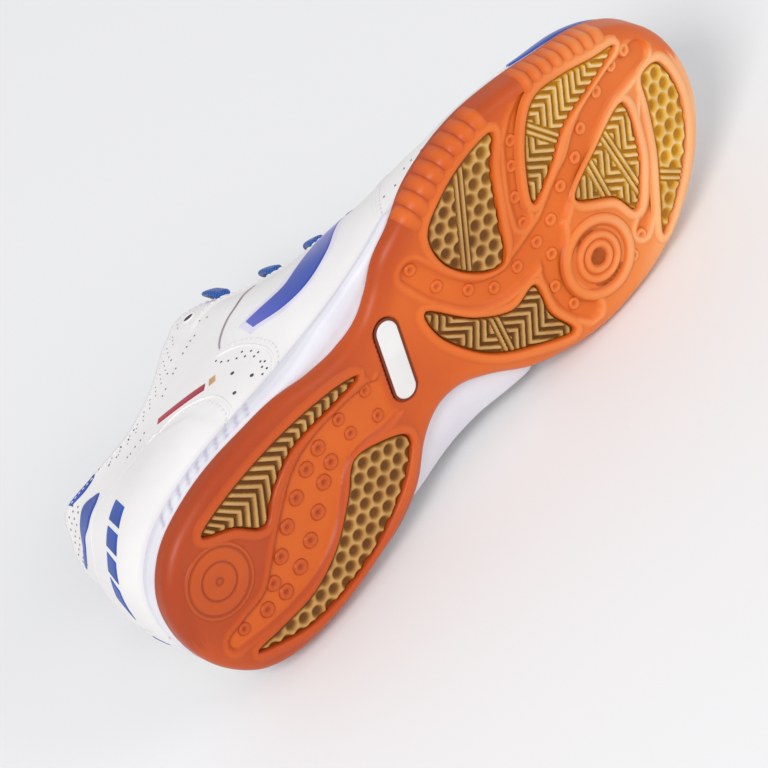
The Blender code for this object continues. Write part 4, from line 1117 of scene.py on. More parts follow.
def pad_height(name, plan, middle_y):
    """Relief of a pad, from 0 in the grooves to 1 on the tops."""
    kind, pitch, column, bars = PAD_PATTERNS[name]
    x, y = plan.T / MILLIMETRE
    if kind == "chevron":
        height = zigzag(x, np.abs(y - middle_y / MILLIMETRE), CHEVRON_SLANT, pitch, 0.30)
    elif kind == "herringbone":
        height = zigzag(x, np.abs((y / column) % 2 - 1) * column, HERRINGBONE_SLANT, pitch, 0.32)
    else:
        height = honeycomb(x, y, pitch)
    for bar in bars:
        gap = along_line(plan, np.array(bar).reshape(2, 2) * MILLIMETRE)[0]
        beside = ease(BAR_HALF_WIDTH, BAR_HALF_WIDTH + 0.0006, gap)
        ridges = ease(0.0002, 0.0008, gap) * (1 - ease(0.0015, BAR_HALF_WIDTH, gap))
        height = height * beside + ridges * (1 - beside)
    return height


def middle_line(outline):
    """A cubic for the y of the middle of an outline, slice by slice along x."""
    ticks = np.linspace(outline[:, 0].min() + 0.003, outline[:, 0].max() - 0.003, 12)
    slices = [outline[np.abs(outline[:, 0] - x) < 0.004, 1] for x in ticks]
    return np.polyfit(ticks, [(part.min() + part.max()) / 2 for part in slices], 3)


print("pads:", len(PAD_PATTERNS))


# %% Tread pads
def make_pad(name, rows):
    """A pad's top over its outline, with a skirt that goes down into the pocket."""
    outline = grown(rounded(plan_points(rows), 4), -GAP)
    low, high = outline.min(0) - CELL, outline.max(0) + CELL
    span = high - low
    middle = middle_line(outline)

    def pad_place(a, b):
        plan = low + np.stack([a, b], 1) * span
        past = beyond(plan, outline)
        rim = ease(-PAD_BORDER, 0.0, past)
        pattern = pad_height(name, plan, np.polyval(middle, plan[:, 0]))
        height = pattern * (1 - rim) + PAD_BORDER_HEIGHT * rim
        recess = POCKET_DEPTH - PAD_THICKNESS - GAP
        z = recess + PAD_RELIEF * (1 - height) - PAD_LIFT * (1 - rim)
        warm = ease(0.60, 0.92, plan[:, 0] / SOLE_LENGTH)
        return at_height(plan, z), {"height": height, "warm": warm, "past": past}

    data = mapped_grid(int(span[0] / CELL), int(span[1] / CELL), pad_place)
    past = data.verts.layers.float["past"]
    outside = [face for face in data.faces if sum(v[past] > 0 for v in face.verts) > 2]
    bmesh.ops.delete(data, geom=outside, context="FACES")
    closed = np.concatenate([outline, outline[:1]])
    for vert in {vert for edge in data.edges if edge.is_boundary for vert in edge.verts}:
        nearest = along_line(np.array([vert.co[:2]]), closed)[1]
        vert.co.x, vert.co.y = read_along(nearest, np.arange(len(closed)), closed)[0]
    close_seams(data, 4e-5)
    for vert in data.verts:
        vert.co.z += float(ground(vert.co.x))
    face_out(data)
    rim_edges = [edge for edge in data.edges if edge.is_boundary]
    for item in bmesh.ops.extrude_edge_only(data, edges=rim_edges)["geom"]:
        if isinstance(item, bmesh.types.BMVert):
            item.co.z += PAD_SKIRT
    data.normal_update()
    return data


for name, rows in PADS.items():
    sign_in(name.replace("tread_pad", "tan_pad"), make_pad(name, rows), crepe, [name])

# %% [markdown]
# ## Bar in the waist
#
# A glossy white bar is let into the narrow waist of the sole. It is a circle pulled apart into a
# capsule, extruded to its thickness, with its lower edge bevelled round.

# %% Waist bar
# Injected TPU, polished mould: bright white, glossy, no grain but a faint flow mark.
gloss, tree, shader = new_finish("polished_white_tpu", {
    "IOR": 1.50, "Coat Weight": 0.5, "Coat Roughness": 0.08})
place = add(tree, "TexCoord").outputs["Object"]
flow = add(tree, "TexNoise", inputs={"Scale": 60.0, "Detail": 2.0}, links={"Vector": place})
tint = add(tree, "ValToRGB", stops=[(0.3, "DEDCDA"), (0.7, "E8E7E5")], links={"Fac": flow.outputs["Fac"]})
rough = add(tree, "MapRange", inputs={"To Min": 0.18, "To Max": 0.30}, links={"Value": flow.outputs["Fac"]})
tree.links.new(tint.outputs["Color"], shader.inputs["Base Color"])
tree.links.new(rough.outputs["Result"], shader.inputs["Roughness"])
# The dark line round the bar is painted shadow: a dark capsule where its seat in the rubber is shaded.
seat_shadow_finish, tree, shader = new_finish("shaded_gum_seat", {"Roughness": 0.7})
place = add(tree, "TexCoord").outputs["Object"]
mark = add(tree, "TexNoise", inputs={"Scale": 300.0}, links={"Vector": place})
tint = add(tree, "ValToRGB", stops=[(0.2, "6A2410"), (0.8, "7C2E16")], links={"Fac": mark.outputs["Fac"]})
tree.links.new(tint.outputs["Color"], shader.inputs["Base Color"])


def capsule(inset, low, high, rounding):
    """A capsule-shaped plate across the waist, its lower face rounded at the edge."""
    data = bmesh.new()
    bmesh.ops.create_circle(data, cap_ends=True, radius=INLAY_WIDTH / 2 - inset, segments=48)
    for vert in data.verts:
        vert.co.x += math.copysign(INLAY_LENGTH / 2 - INLAY_WIDTH / 2, vert.co.x)
        vert.co.z = high
    moved = bmesh.ops.extrude_face_region(data, geom=data.faces[:])["geom"]
    low_verts = [item for item in moved if isinstance(item, bmesh.types.BMVert)]
    for vert in low_verts:
        vert.co.z = low
    rim = [edge for edge in data.edges if all(v in low_verts for v in edge.verts)]
    bmesh.ops.bevel(data, geom=rim, offset=rounding, segments=4, profile=0.5, affect="EDGES", material=-1)
    bmesh.ops.recalc_face_normals(data, faces=data.faces)
    spot = plan_points([INLAY_CENTRE])[0]
    data.transform(Matrix.Translation((*spot, 0.0)) @ Matrix.Rotation(INLAY_SLANT, 4, "Z"))
    for vert in data.verts:
        vert.co.z += float(ground(vert.co.x))
    return data


bar = capsule(inset=0.0009, low=-0.0006, high=INLAY_THICKNESS, rounding=0.0006)
sign_in("waist_bar", bar, gloss, ["waist_inlay"])
bar_seat = capsule(inset=0.0, low=-0.00012, high=INLAY_THICKNESS, rounding=0.0002)
sign_in("waist_bar_seat_shadow", bar_seat, seat_shadow_finish)

# %% [markdown]
# ## Midsole
#
# The white foam layer shows as a band between the rubber and the upper. It is one grid round
# the shoe through the same rings as the solid, with slanted ribs pressed into the outer heel.

# %% Foam of the midsole
# Compression-moulded EVA, white: a satin skin over fine cells that just show as a mottle.
foam, tree, shader = new_finish("moulded_eva_foam", {
    "IOR": 1.45, "Roughness": 0.55, "Subsurface Weight": 0.15,
    "Subsurface Radius": (0.004, 0.004, 0.005), "Subsurface Scale": 0.3})
place = add(tree, "TexCoord").outputs["Object"]
cells = add(tree, "TexVoronoi", inputs={"Scale": 900.0}, links={"Vector": place})
cloud = add(tree, "TexNoise", inputs={"Scale": 40.0, "Detail": 3.0}, links={"Vector": place})
tint = add(tree, "ValToRGB", stops=[(0.25, "DCDAE3"), (0.75, "E8E7EC")], links={"Fac": cloud.outputs["Fac"]})
pressed = add(tree, "Attribute", {"attribute_name": "pressed"}).outputs["Fac"]
# The slanted ribs are also darkened with painted shade.
ribbed = add(tree, "MixRGB", inputs={"Color2": colour("C3BFD2")},
             links={"Color1": tint.outputs["Color"], "Fac": pressed})
relief = add(tree, "Bump", inputs={"Strength": 0.12, "Distance": 0.0002},
             links={"Height": cells.outputs["Distance"]})
tree.links.new(ribbed.outputs["Color"], shader.inputs["Base Color"])
tree.links.new(relief.outputs["Normal"], shader.inputs["Normal"])
print("finish:", foam.name)

# %% Midsole
FOAM_RIBS = [0.264, 0.245, 0.226, 0.208, 0.189, 0.171, 0.152, 0.132, 0.112, 0.092]
RIB_SLANT = 0.018
RIB_WIDTH = 0.0028
RIB_DEPTH = 0.0007
FOAM_RINGS = [
    # share of the grid's way, how far in from the body's edge in mm, and share of the way up the side
    (0.20, 1.2, 0.0),
    (0.30, 0.1, 0.15),
    (0.50, -0.4, 0.45),
    (0.70, 0.1, 0.75),
    (0.82, 0.6, 0.9),
    (0.92, 1.6, 1.0),
]


def loop_side(a):
    """Turn and side for a share of the way round the shoe: out along the outer side and back."""
    way = a * 2
    return np.where(way <= 1, way, 2 - way), way <= 1


def midsole_place(a, b):
    turns, outer = loop_side(a)
    rim, rim_out, body, body_out = [
        on_side(lambda side: place_of(kind, side, turns), outer)
        for kind in ("tread", "body") for place_of in (edge_point, edge_normal)]
    middle = (edge_point("tread", True, turns) + edge_point("tread", False, turns)) / 2
    inner = rim - rim_out * (CUP_WALL + GAP)
    x = inner[:, 0]
    share = ledge(x)[:, None]
    low = PLATE_THICKNESS + GAP + ground(x)
    step = rim_height(x, outer)
    top = bed_height(x) + spring(x)
    rings = [at_height(inner * (1 - share) + (body - body_out * inset * MILLIMETRE) * share,
                       (1 - up) * step + up * top) for place, inset, up in FOAM_RINGS]
    rings = [at_height(middle, low), at_height(inner, low), at_height(inner, step)] + rings
    rings = np.stack(rings + [at_height(middle, top)])
    places = np.array([0.0, 0.06, 0.14] + [row[0] for row in FOAM_RINGS] + [1.0])
    band = np.clip(np.searchsorted(places, b, side="right") - 1, 0, len(rings) - 2)
    part = ((b - places[band]) / (places[band + 1] - places[band]))[:, None]
    which = np.arange(len(a))
    point = rings[band, which] * (1 - part) + rings[band + 1, which] * part
    level = np.clip((point[:, 2] - step) / np.maximum(top - step, 1e-6), 0, 1)
    slanted = share_of(turns) - RIB_SLANT * level
    # The same field sinks the ribs and paints shade in them.
    pressed = sum(np.exp(-((slanted - rib) / RIB_WIDTH) ** 2) for rib in FOAM_RIBS)
    pressed = pressed * outer * ease(0.10, 0.25, level) * (1 - ease(0.75, 0.92, level))
    pressed = pressed * ((b > 0.2) & (b < 0.92))
    point[:, :2] -= body_out * (RIB_DEPTH * pressed)[:, None]
    return point, {"pressed": pressed}


foam_data = mapped_grid(520, 30, midsole_place)
close_seams(foam_data)
bmesh.ops.recalc_face_normals(foam_data, faces=foam_data.faces)
sign_in("foam_midsole", foam_data, foam, ["midsole"])

# %% [markdown]
# ## Upper
#
# The upper is soft white coated leather with raised overlays: the eyestays along the throat and
# the heel counter. Its outer face is one grid that goes round the shoe and up its columns, with
# the overlays and the vamp's flex creases as heights, and Solidify gives the real wall inwards.

# %% Leather of the upper
# Full-grain leather with a white PU coat: satin, fine pebbled grain of about 0.8 mm, and painted grey-violet
# shade in its creases and at its foot by the midsole. It is drawn a little coarse so that it shows.
leather, tree, shader = new_finish("coated_white_leather", {
    "IOR": 1.48, "Specular IOR Level": 0.45, "Coat Weight": 0.06, "Coat Roughness": 0.35,
    "Subsurface Weight": 0.06, "Subsurface Radius": (0.003, 0.002, 0.002), "Subsurface Scale": 0.2})
place = add(tree, "TexCoord").outputs["Object"]
shade = add(tree, "Attribute", {"attribute_name": "shade"}).outputs["Fac"]
pebble = add(tree, "TexVoronoi", {"feature": "DISTANCE_TO_EDGE"}, {"Scale": 1100.0}, {"Vector": place})
cloud = add(tree, "TexNoise", inputs={"Scale": 22.0, "Detail": 4.0}, links={"Vector": place})
skin = add(tree, "ValToRGB", stops=[(0.30, "EAE6E4"), (0.70, "F5F3F1")], links={"Fac": cloud.outputs["Fac"]})
shaded_in_creases = add(tree, "MixRGB", inputs={"Color2": colour("CFC6D6")},
             links={"Color1": skin.outputs["Color"], "Fac": shade})
rough = add(tree, "MapRange", inputs={"To Min": 0.38, "To Max": 0.52}, links={"Value": cloud.outputs["Fac"]})
relief = add(tree, "Bump", inputs={"Strength": 0.22, "Distance": 0.0002},
             links={"Height": pebble.outputs["Distance"]})
tree.links.new(shaded_in_creases.outputs["Color"], shader.inputs["Base Color"])
tree.links.new(rough.outputs["Result"], shader.inputs["Roughness"])
tree.links.new(relief.outputs["Normal"], shader.inputs["Normal"])
print("finish:", leather.name)

# %% Upper
CREASES = [
    # share of the sole, how wide, how deep in mm, slant towards the sole
    (0.640, 0.0075, 0.55, 0.020),
    (0.668, 0.0070, 0.75, 0.012),
    (0.700, 0.0080, 0.60, 0.000),
    (0.735, 0.0075, 0.40, -0.012),
]
# Heights over which the overlays' edges rise, and how far along the sole the heel counter goes
# at its foot and how much less at its top.
EYESTAY_EDGE = (0.785, 0.805)
COUNTER_EDGE = (0.590, 0.612)
COUNTER_REACH = 0.240
COUNTER_LEAN = 0.030


def overlay_height(share, t):
    """Soft-edged steps of the eyestays and the heel counter."""
    eyestay = ease(*EYESTAY_EDGE, t) * ease(COLLAR_FRONT - 0.018, COLLAR_FRONT - 0.008, share)
    eyestay = eyestay * (1 - ease(VAMP_POINT + 0.018, VAMP_POINT + 0.026, share))
    reach = COUNTER_REACH - COUNTER_LEAN * ease(0.35, 0.60, t)
    counter = (1 - ease(*COUNTER_EDGE, t)) * (1 - ease(reach - 0.004, reach + 0.004, share))
    return np.maximum(eyestay, counter)


def upper_place(a, b):
    turns, outer = loop_side(a)
    share = share_of(turns)
    point = on_side(lambda side: shell_point(turns, side, b), outer)
    normal = on_side(lambda side: shell_normal(turns, side, b), outer)
    crease = np.zeros(len(a))
    for middle, width, depth, slant in CREASES:
        off = share - middle - slant * (1 - b)
        crease += depth * np.exp(-(off / width) ** 2) * ease(0.25, 0.75, b)
    rise = OVERLAY_STEP * overlay_height(share, b) - crease * MILLIMETRE
    # Painted shade: grey-violet in the creases and along the foot of the upper by the midsole.
    shade = np.clip(crease * 0.25 + 0.35 * (1 - ease(0.0, 0.05, b)), 0, 1)
    return point + normal * rise[:, None], {"shade": shade}


upper = sign_in("leather_upper", sheet(430, 92, upper_place, 3e-5), leather, ["upper"])
wall = upper.modifiers.new("wall", "SOLIDIFY")
wall.thickness = WALL
wall.offset = -1.0
wall.use_rim = True

# %% [markdown]
# Overlays, prints and cut edges lie on the upper along curves that are given as station and
# height. A film is a thin grid between two such curves whose borders dip into the leather, so it
# reads as a layer stuck on. A welt is a narrow raised line, and stitches are short beads.

# %% Films, welts and stitches
# A height share counts for less than a station share where the way along a curve is measured.
HEIGHT_WEIGHT = 0.35
# How deep a film's border dips into the leather, and in how many cells it comes up again.
FILM_DIP = 0.00025
FILM_BORDER = 1.6
# Share of a welt's height that lies in the leather.
WELT_SUNK = 0.3
THREAD_RADIUS = 0.00034
STITCH_SPACING = 0.0026
STITCH_LENGTH = 0.0018
STITCH_LIFT = 0.00012


def stations_along(rows, count):
    """Smooth stations and heights along a curve of (station, height) on the upper."""
    feet, levels = np.array(rows, float).T
    knots = way_along(np.stack([feet, HEIGHT_WEIGHT * levels], -1))
    way = np.linspace(0, knots[-1], count)
    return np.clip(smooth(knots, feet)(way), 1e-4, 1 - 1e-4), np.clip(smooth(knots, levels)(way), 0.0, 1.0)


def line_on_upper(rows, count, outer):
    """Points along such a curve, the way out at each, and its station and height."""
    foot, t = stations_along(rows, count)
    turns = turn_of(foot)
    return shell_point(turns, outer, t), shell_normal(turns, outer, t), np.stack([foot, t], -1)


def film(low, high, lift, columns, rows, outer):
    """A thin sheet on the upper between two curves of (station, height)."""
    ticks = np.linspace(0, 1, 200)
    low_line = np.stack(stations_along(low, len(ticks)), -1)
    high_line = np.stack(stations_along(high, len(ticks)), -1)

    def film_place(a, b):
        share = b[:, None]
        foot, t = (read_along(a, ticks, low_line) * (1 - share) + read_along(a, ticks, high_line) * share).T
        turns = turn_of(foot)
        rim = np.minimum(np.minimum(a, 1 - a) * columns, np.minimum(b, 1 - b) * rows)
        rise = lift * ease(0.0, FILM_BORDER, rim) - FILM_DIP * (rim < 0.5)
        rise = rise + OVERLAY_STEP * overlay_height(foot, t)
        point = shell_point(turns, outer, t) + shell_normal(turns, outer, t) * rise[:, None]
        return point, {"run": a, "side": b}

    return sheet(columns, rows, film_place, 1e-6)


def welt(rows, width, rise, outer, count=120):
    """A narrow raised line along a curve on the upper."""
    points, normals, stations = line_on_upper(rows, count, outer)
    overs = OVERLAY_STEP * overlay_height(*stations.T)
    run = np.gradient(points, axis=0)
    run /= np.linalg.norm(run, axis=1)[:, None]
    across = np.cross(run, normals)
    ticks = np.linspace(0, 1, count)

    def welt_place(a, b):
        taper = np.sqrt(np.clip(1 - (2 * a - 1) ** 12, 0, 1))
        spot, side, out = [read_along(a, ticks, columns) for columns in (points, across, normals)]
        angle = (b - 0.5) * math.pi
        up = np.interp(a, ticks, overs) + rise * (np.cos(angle) * (1 + WELT_SUNK) - WELT_SUNK) * taper
        point = spot + side * (np.sin(angle) * width / 2 * taper)[:, None] + out * up[:, None]
        return point, {"run": a, "side": b}

    return sheet(count, 6, welt_place, 1e-6)


def stitch_row(data, rows, outer):
    """Adds short threads along a curve on the upper."""
    points, normals, stations = line_on_upper(rows, 400, outer)
    far = way_along(points)
    for place in np.arange(STITCH_SPACING / 2, far[-1], STITCH_SPACING):
        spot, nose = read_along(np.array([place, place + 1e-4]), far, points)
        run = Vector(nose - spot)
        if run.length < 1e-9:
            continue
        run.normalize()
        up = Vector(read_along(np.array([place]), far, normals)[0]).normalized()
        side = run.cross(up).normalized()
        axes = Matrix((run * STITCH_LENGTH / 2, side * THREAD_RADIUS, up * THREAD_RADIUS)).transposed()
        over = OVERLAY_STEP * float(overlay_height(*read_along(np.array([place]), far, stations)[0]))
        where = Matrix.Translation(Vector(spot) + up * (over + STITCH_LIFT))
        bmesh.ops.create_uvsphere(data, u_segments=6, v_segments=4, radius=1.0,
                                  matrix=where @ axes.to_4x4() @ Matrix.Rotation(math.pi / 2, 4, "Y"))


print("tools for the upper's layers are ready")

# %% [markdown]
# Prints are thin inks and films: a royal blue panel that fades to violet, a red bar with a tan
# end, and blue accents at heel, collar and toe. Each is a film with its own field for the fade.


# %% Inks and films
def ink(name, stops, rough_low, rough_high):
    """Screen-printed PU ink: opaque, a little glossier than the leather, with a fine orange peel."""
    material, tree, shader = new_finish(name, {"IOR": 1.49, "Coat Weight": 0.15, "Coat Roughness": 0.25})
    place = add(tree, "TexCoord").outputs["Object"]
    run = add(tree, "Attribute", {"attribute_name": "run"}).outputs["Fac"]
    peel = add(tree, "TexNoise", inputs={"Scale": 1400.0, "Detail": 2.0}, links={"Vector": place})
    cloud = add(tree, "TexNoise", inputs={"Scale": 90.0, "Detail": 3.0}, links={"Vector": place})
    faded = add(tree, "ValToRGB", stops=stops, links={"Fac": run})
    worn = add(tree, "ValToRGB", stops=[(0.3, "E6E6E6"), (0.6, "FFFFFF")],
               links={"Fac": cloud.outputs["Fac"]})
    mixed = add(tree, "MixRGB", {"blend_type": "MULTIPLY"}, {"Fac": 0.6},
                {"Color1": faded.outputs["Color"], "Color2": worn.outputs["Color"]})
    rough = add(tree, "MapRange", inputs={"To Min": rough_low, "To Max": rough_high},
                links={"Value": cloud.outputs["Fac"]})
    relief = add(tree, "Bump", inputs={"Strength": 0.15, "Distance": 0.0002},
                 links={"Height": peel.outputs["Fac"]})
    tree.links.new(mixed.outputs["Color"], shader.inputs["Base Color"])
    tree.links.new(rough.outputs["Result"], shader.inputs["Roughness"])
    tree.links.new(relief.outputs["Normal"], shader.inputs["Normal"])
    return material


fade_blue = ink("fading_blue_ink", [(0.0, "5A63C4"), (0.25, "2848B4"), (0.5, "0A3FA8"),
                                    (0.8, "4A50BC"), (1.0, "A9A4DC")], 0.30, 0.42)
blue_ink = ink("royal_blue_ink", [(0.0, "1B4FB4"), (1.0, "123F9C")], 0.32, 0.44)
red_ink = ink("crimson_ink", [(0.0, "B5223A"), (1.0, "A81C36")], 0.34, 0.46)
tan_ink = ink("tan_ink", [(0.0, "C79A62"), (1.0, "D0A878")], 0.40, 0.52)
pale_film = ink("pale_violet_film", [(0.0, "E4DFEE"), (1.0, "EFEBF4")], 0.35, 0.5)
mauve_edge = ink("mauve_cut_edge", [(0.0, "B3A2A4"), (0.5, "8F7F86"), (1.0, "A99AA4")], 0.5, 0.7)

# %% Prints and films
# Each film lies between a lower and an upper curve of (station, height).
PANEL = ([(0.380, 0.352), (0.420, 0.262), (0.470, 0.250), (0.515, 0.322), (0.545, 0.440), (0.578, 0.600)],
         [(0.386, 0.430), (0.420, 0.410), (0.450, 0.420), (0.482, 0.485), (0.512, 0.575), (0.548, 0.690)])
BACKING = ([(0.370, 0.335), (0.418, 0.232), (0.474, 0.222), (0.522, 0.300), (0.553, 0.425), (0.590, 0.600)],
           [(0.376, 0.452), (0.418, 0.440), (0.445, 0.450), (0.474, 0.512), (0.504, 0.604), (0.542, 0.722)])
BAR = ([(0.2260, 0.690), (0.2540, 0.543), (0.2810, 0.413)],
       [(0.2370, 0.732), (0.2660, 0.587), (0.2935, 0.452)])
TAB = ([(0.2870, 0.398), (0.2965, 0.368)], [(0.2985, 0.442), (0.3075, 0.412)])
CRESCENT = ([(0.003, 0.900), (0.021, 0.803), (0.049, 0.741), (0.071, 0.656), (0.096, 0.664), (0.117, 0.730)],
            [(0.003, 0.912), (0.0315, 0.83), (0.053, 0.799), (0.075, 0.792), (0.097, 0.819), (0.117, 0.738)])
EDGE = ([(0.090, 0.955), (0.1137, 0.925), (0.1300, 0.945), (0.145, 0.985)],
        [(0.090, 0.998), (0.1137, 0.998), (0.1300, 0.998), (0.145, 0.998)])
TOE = ([(0.832, 0.150), (0.860, 0.125), (0.894, 0.110), (0.925, 0.105), (0.960, 0.115), (0.985, 0.150)],
       [(0.834, 0.230), (0.860, 0.330), (0.894, 0.345), (0.925, 0.325), (0.960, 0.270), (0.985, 0.190)])
FILMS = [
    # piece, curves, lift in mm, columns, rows, ink, whether it is on the outer side
    ("side_panel_backing", BACKING, 0.22, 110, 26, pale_film, True),
    ("side_panel_print", PANEL, 0.45, 110, 22, fade_blue, True),
    ("inner_panel_print", PANEL, 0.40, 110, 22, fade_blue, False),
    ("quarter_bar_print", BAR, 0.25, 70, 8, red_ink, True),
    ("quarter_tab_print", TAB, 0.25, 16, 8, tan_ink, True),
    ("heel_crescent_outer", CRESCENT, 0.40, 70, 16, blue_ink, True),
    ("collar_edge_blue_outer", EDGE, 0.30, 40, 10, blue_ink, True),
    ("heel_crescent_inner", CRESCENT, 0.40, 70, 16, blue_ink, False),
    ("collar_edge_blue_inner", EDGE, 0.30, 40, 10, blue_ink, False),
    ("toe_band_print", TOE, 0.60, 80, 12, blue_ink, True),
]
for name, (low, high), lift, columns, rows, finish, side in FILMS:
    sign_in(name, film(low, high, lift * MILLIMETRE, columns, rows, side), finish)

# %% Dashes round the heel
# Five plain dashes stand where the photograph has a printed band round the heel.
DASH_SLANT = 0.0045
DASHES = [
    # whether it is on the outer side, first and last end as station and height, half its height
    (True, (0.104, 0.372), (0.076, 0.330), 0.075),
    (True, (0.070, 0.322), (0.047, 0.300), 0.072),
    (True, (0.042, 0.296), (0.023, 0.280), 0.064),
    (True, (0.019, 0.278), (0.005, 0.268), 0.050),
    (False, (0.0005, 0.262), (0.010, 0.250), 0.034),
]
for k, (side, first, last, half) in enumerate(DASHES):
    low, high = [[(max(foot + way * DASH_SLANT, 0.0004), t + way * half) for foot, t in (first, last)]
                 for way in (-1, 1)]
    sign_in("heel_dash_%d" % (k + 1), film(low, high, 0.0003, 30, 14, side), blue_ink)

# %% [markdown]
# Cut edges and seams: where one leather lies on another, its cut edge makes a fine raised line,
# and a row of stitches runs beside it. The lines are welts, and the stitches are small beads.

# %% Edges and seams
# Bonded polyester thread, white, slightly glossy and twisted.
thread, tree, shader = new_finish("bonded_white_thread", {"Roughness": 0.45, "Sheen Weight": 0.2})
place = add(tree, "TexCoord").outputs["Object"]
twist = add(tree, "TexWave", inputs={"Scale": 900.0, "Distortion": 1.0}, links={"Vector": place})
tint = add(tree, "ValToRGB", stops=[(0.0, "D8D2DA"), (1.0, "F4F1F2")], links={"Fac": twist.outputs["Fac"]})
relief = add(tree, "Bump", inputs={"Strength": 0.3, "Distance": 0.0001},
             links={"Height": twist.outputs["Fac"]})
tree.links.new(tint.outputs["Color"], shader.inputs["Base Color"])
tree.links.new(relief.outputs["Normal"], shader.inputs["Normal"])

SEAM = [(0.465, 0.780), (0.439, 0.672), (0.408, 0.583), (0.384, 0.564), (0.365, 0.544), (0.347, 0.506),
        (0.340, 0.479)]
NOSE = [(0.330, 0.490), (0.352, 0.359), (0.359, 0.236), (0.358, 0.143), (0.347, 0.058), (0.336, 0.012)]
COUNTER = [(0.190, 0.600), (0.235, 0.560), (0.262, 0.430), (0.2750, 0.300), (0.2721, 0.139), (0.2627, 0.042),
           (0.2522, 0.010)]
COUNTER_TOP = [(0.190, 0.600), (0.130, 0.602), (0.070, 0.600), (0.020, 0.600), (0.0005, 0.600)]
TOE_CAP = [(0.826, 0.030), (0.806, 0.250), (0.788, 0.480), (0.776, 0.720), (0.772, 0.990)]
VAMP_SEAM = [(0.560, 0.020), (0.590, 0.250), (0.625, 0.480), (0.660, 0.650), (0.700, 0.785)]
WELTS = [
    # piece, its curve, width and height in mm, finish
    ("nose_edge", NOSE, 1.4, 0.50, leather),
    ("counter_edge", COUNTER, 1.4, 0.50, leather),
    ("counter_top_edge", COUNTER_TOP, 1.2, 0.40, leather),
    ("throat_seam", SEAM, 1.1, 0.35, mauve_edge),
    ("toe_cap_edge", TOE_CAP, 1.3, 0.40, leather),
    ("vamp_edge", VAMP_SEAM, 1.3, 0.40, leather),
]
STITCHED_EDGES = [(NOSE, 0.010), (COUNTER, -0.009), (TOE_CAP, 0.009), (VAMP_SEAM, 0.009)]
STITCH_ROWS = [[(foot + off, t) for foot, t in rows] for rows, off in STITCHED_EDGES] + [
    [(0.385, 0.800), (0.450, 0.812), (0.530, 0.812), (0.620, 0.812), (0.700, 0.812)],
    [(foot, 0.965) for foot in (0.39, 0.45, 0.52, 0.60, 0.68)],
    [(foot, 0.970) for foot in (0.002, 0.04, 0.10, 0.18, 0.27, 0.36)],
]
stitches = bmesh.new()
for side, word in ((True, "outer"), (False, "inner")):
    for name, rows, width, rise, finish in WELTS:
        line = welt(rows, width * MILLIMETRE, rise * MILLIMETRE, side)
        sign_in(name + "_" + word, line, finish)
    for rows in STITCH_ROWS:
        stitch_row(stitches, rows, side)
sign_in("upper_stitching", stitches, thread)

# %% [markdown]
# Air holes: groups of pinholes are punched through the leather. A punched hole that is smaller than a
# millimetre reads as a dark dot, so each is a small dark disc of painted shade just over the leather.

# %% Pinholes
shadow, tree, shader = new_finish("shade_in_a_punched_hole", {"Roughness": 0.9, "Specular IOR Level": 0.1})
place = add(tree, "TexCoord").outputs["Object"]
shade_mottle = add(tree, "TexNoise", inputs={"Scale": 800.0}, links={"Vector": place})
tint = add(tree, "ValToRGB", stops=[(0.3, "4A474E"), (0.7, "5C5860")], links={"Fac": shade_mottle.outputs["Fac"]})
tree.links.new(tint.outputs["Color"], shader.inputs["Base Color"])
# Places are station and height.
WAIST_HOLES = [(0.325, 0.467), (0.325, 0.421), (0.3285, 0.371), (0.3344, 0.320), (0.3449, 0.313),
               (0.3402, 0.270), (0.3496, 0.255), (0.3438, 0.208), (0.3508, 0.201), (0.3402, 0.139),
               (0.3426, 0.112), (0.3344, 0.100), (0.3355, 0.062), (0.3261, 0.058)]
WIDE_HOLES = [(0.3132, 0.278), (0.3191, 0.124), (0.2886, 0.143)]
COLLAR_HOLES = [(0.3837, 0.780), (0.3895, 0.737), (0.3590, 0.749), (0.3508, 0.761), (0.3414, 0.768),
                (0.3320, 0.780), (0.3109, 0.803), (0.3226, 0.873), (0.3038, 0.815), (0.3038, 0.873),
                (0.2815, 0.826), (0.2710, 0.826), (0.2146, 0.788), (0.2029, 0.768), (0.1923, 0.768),
                (0.1806, 0.753), (0.1747, 0.753), (0.2193, 0.950), (0.2041, 0.938), (0.1911, 0.961),
                (0.1747, 0.903), (0.1618, 0.915), (0.1524, 0.985)]
COLLAR_ROWS = [(0.160 + 0.0062 * k, 0.905 + 0.022 * (k % 3)) for k in range(36)]
VAMP_HOLES = [(0.6384, 0.158), (0.6513, 0.143), (0.6678, 0.108), (0.6126, 0.116), (0.5950, 0.151),
              (0.6419, 0.058)]
MESH_HOLES = [(foot + 0.008 * (row % 2), 0.84 + 0.035 * row) for row in range(4)
              for foot in (0.012, 0.030, 0.048, 0.066, 0.084)]
HOLE_LIFT = 0.00008
HOLE_GROUPS = [
    # holes and their radius
    (WAIST_HOLES, 0.00050),
    (WIDE_HOLES, 0.00085),
    (COLLAR_HOLES, 0.00042),
    (VAMP_HOLES, 0.00050),
    (MESH_HOLES, 0.00045),
    (COLLAR_ROWS, 0.00030),
]


def over_upper(foot, outer, t, height):
    """A point over the upper at a station and height, and the way that the wall faces there."""
    turn = turn_of([foot])
    level = np.array([t])
    normal = shell_normal(turn, outer, level)[0]
    return shell_point(turn, outer, level)[0] + normal * height, normal


def seat_on_upper(foot, t, outer, lift):
    """The matrix that stands a flat form on the upper, on top of any overlay."""
    over = OVERLAY_STEP * float(overlay_height(np.array([foot]), np.array([t]))[0])
    spot, out = over_upper(foot, outer, t, over + lift)
    return Matrix.Translation(Vector(spot)) @ Vector(out).to_track_quat("Z", "Y").to_matrix().to_4x4()


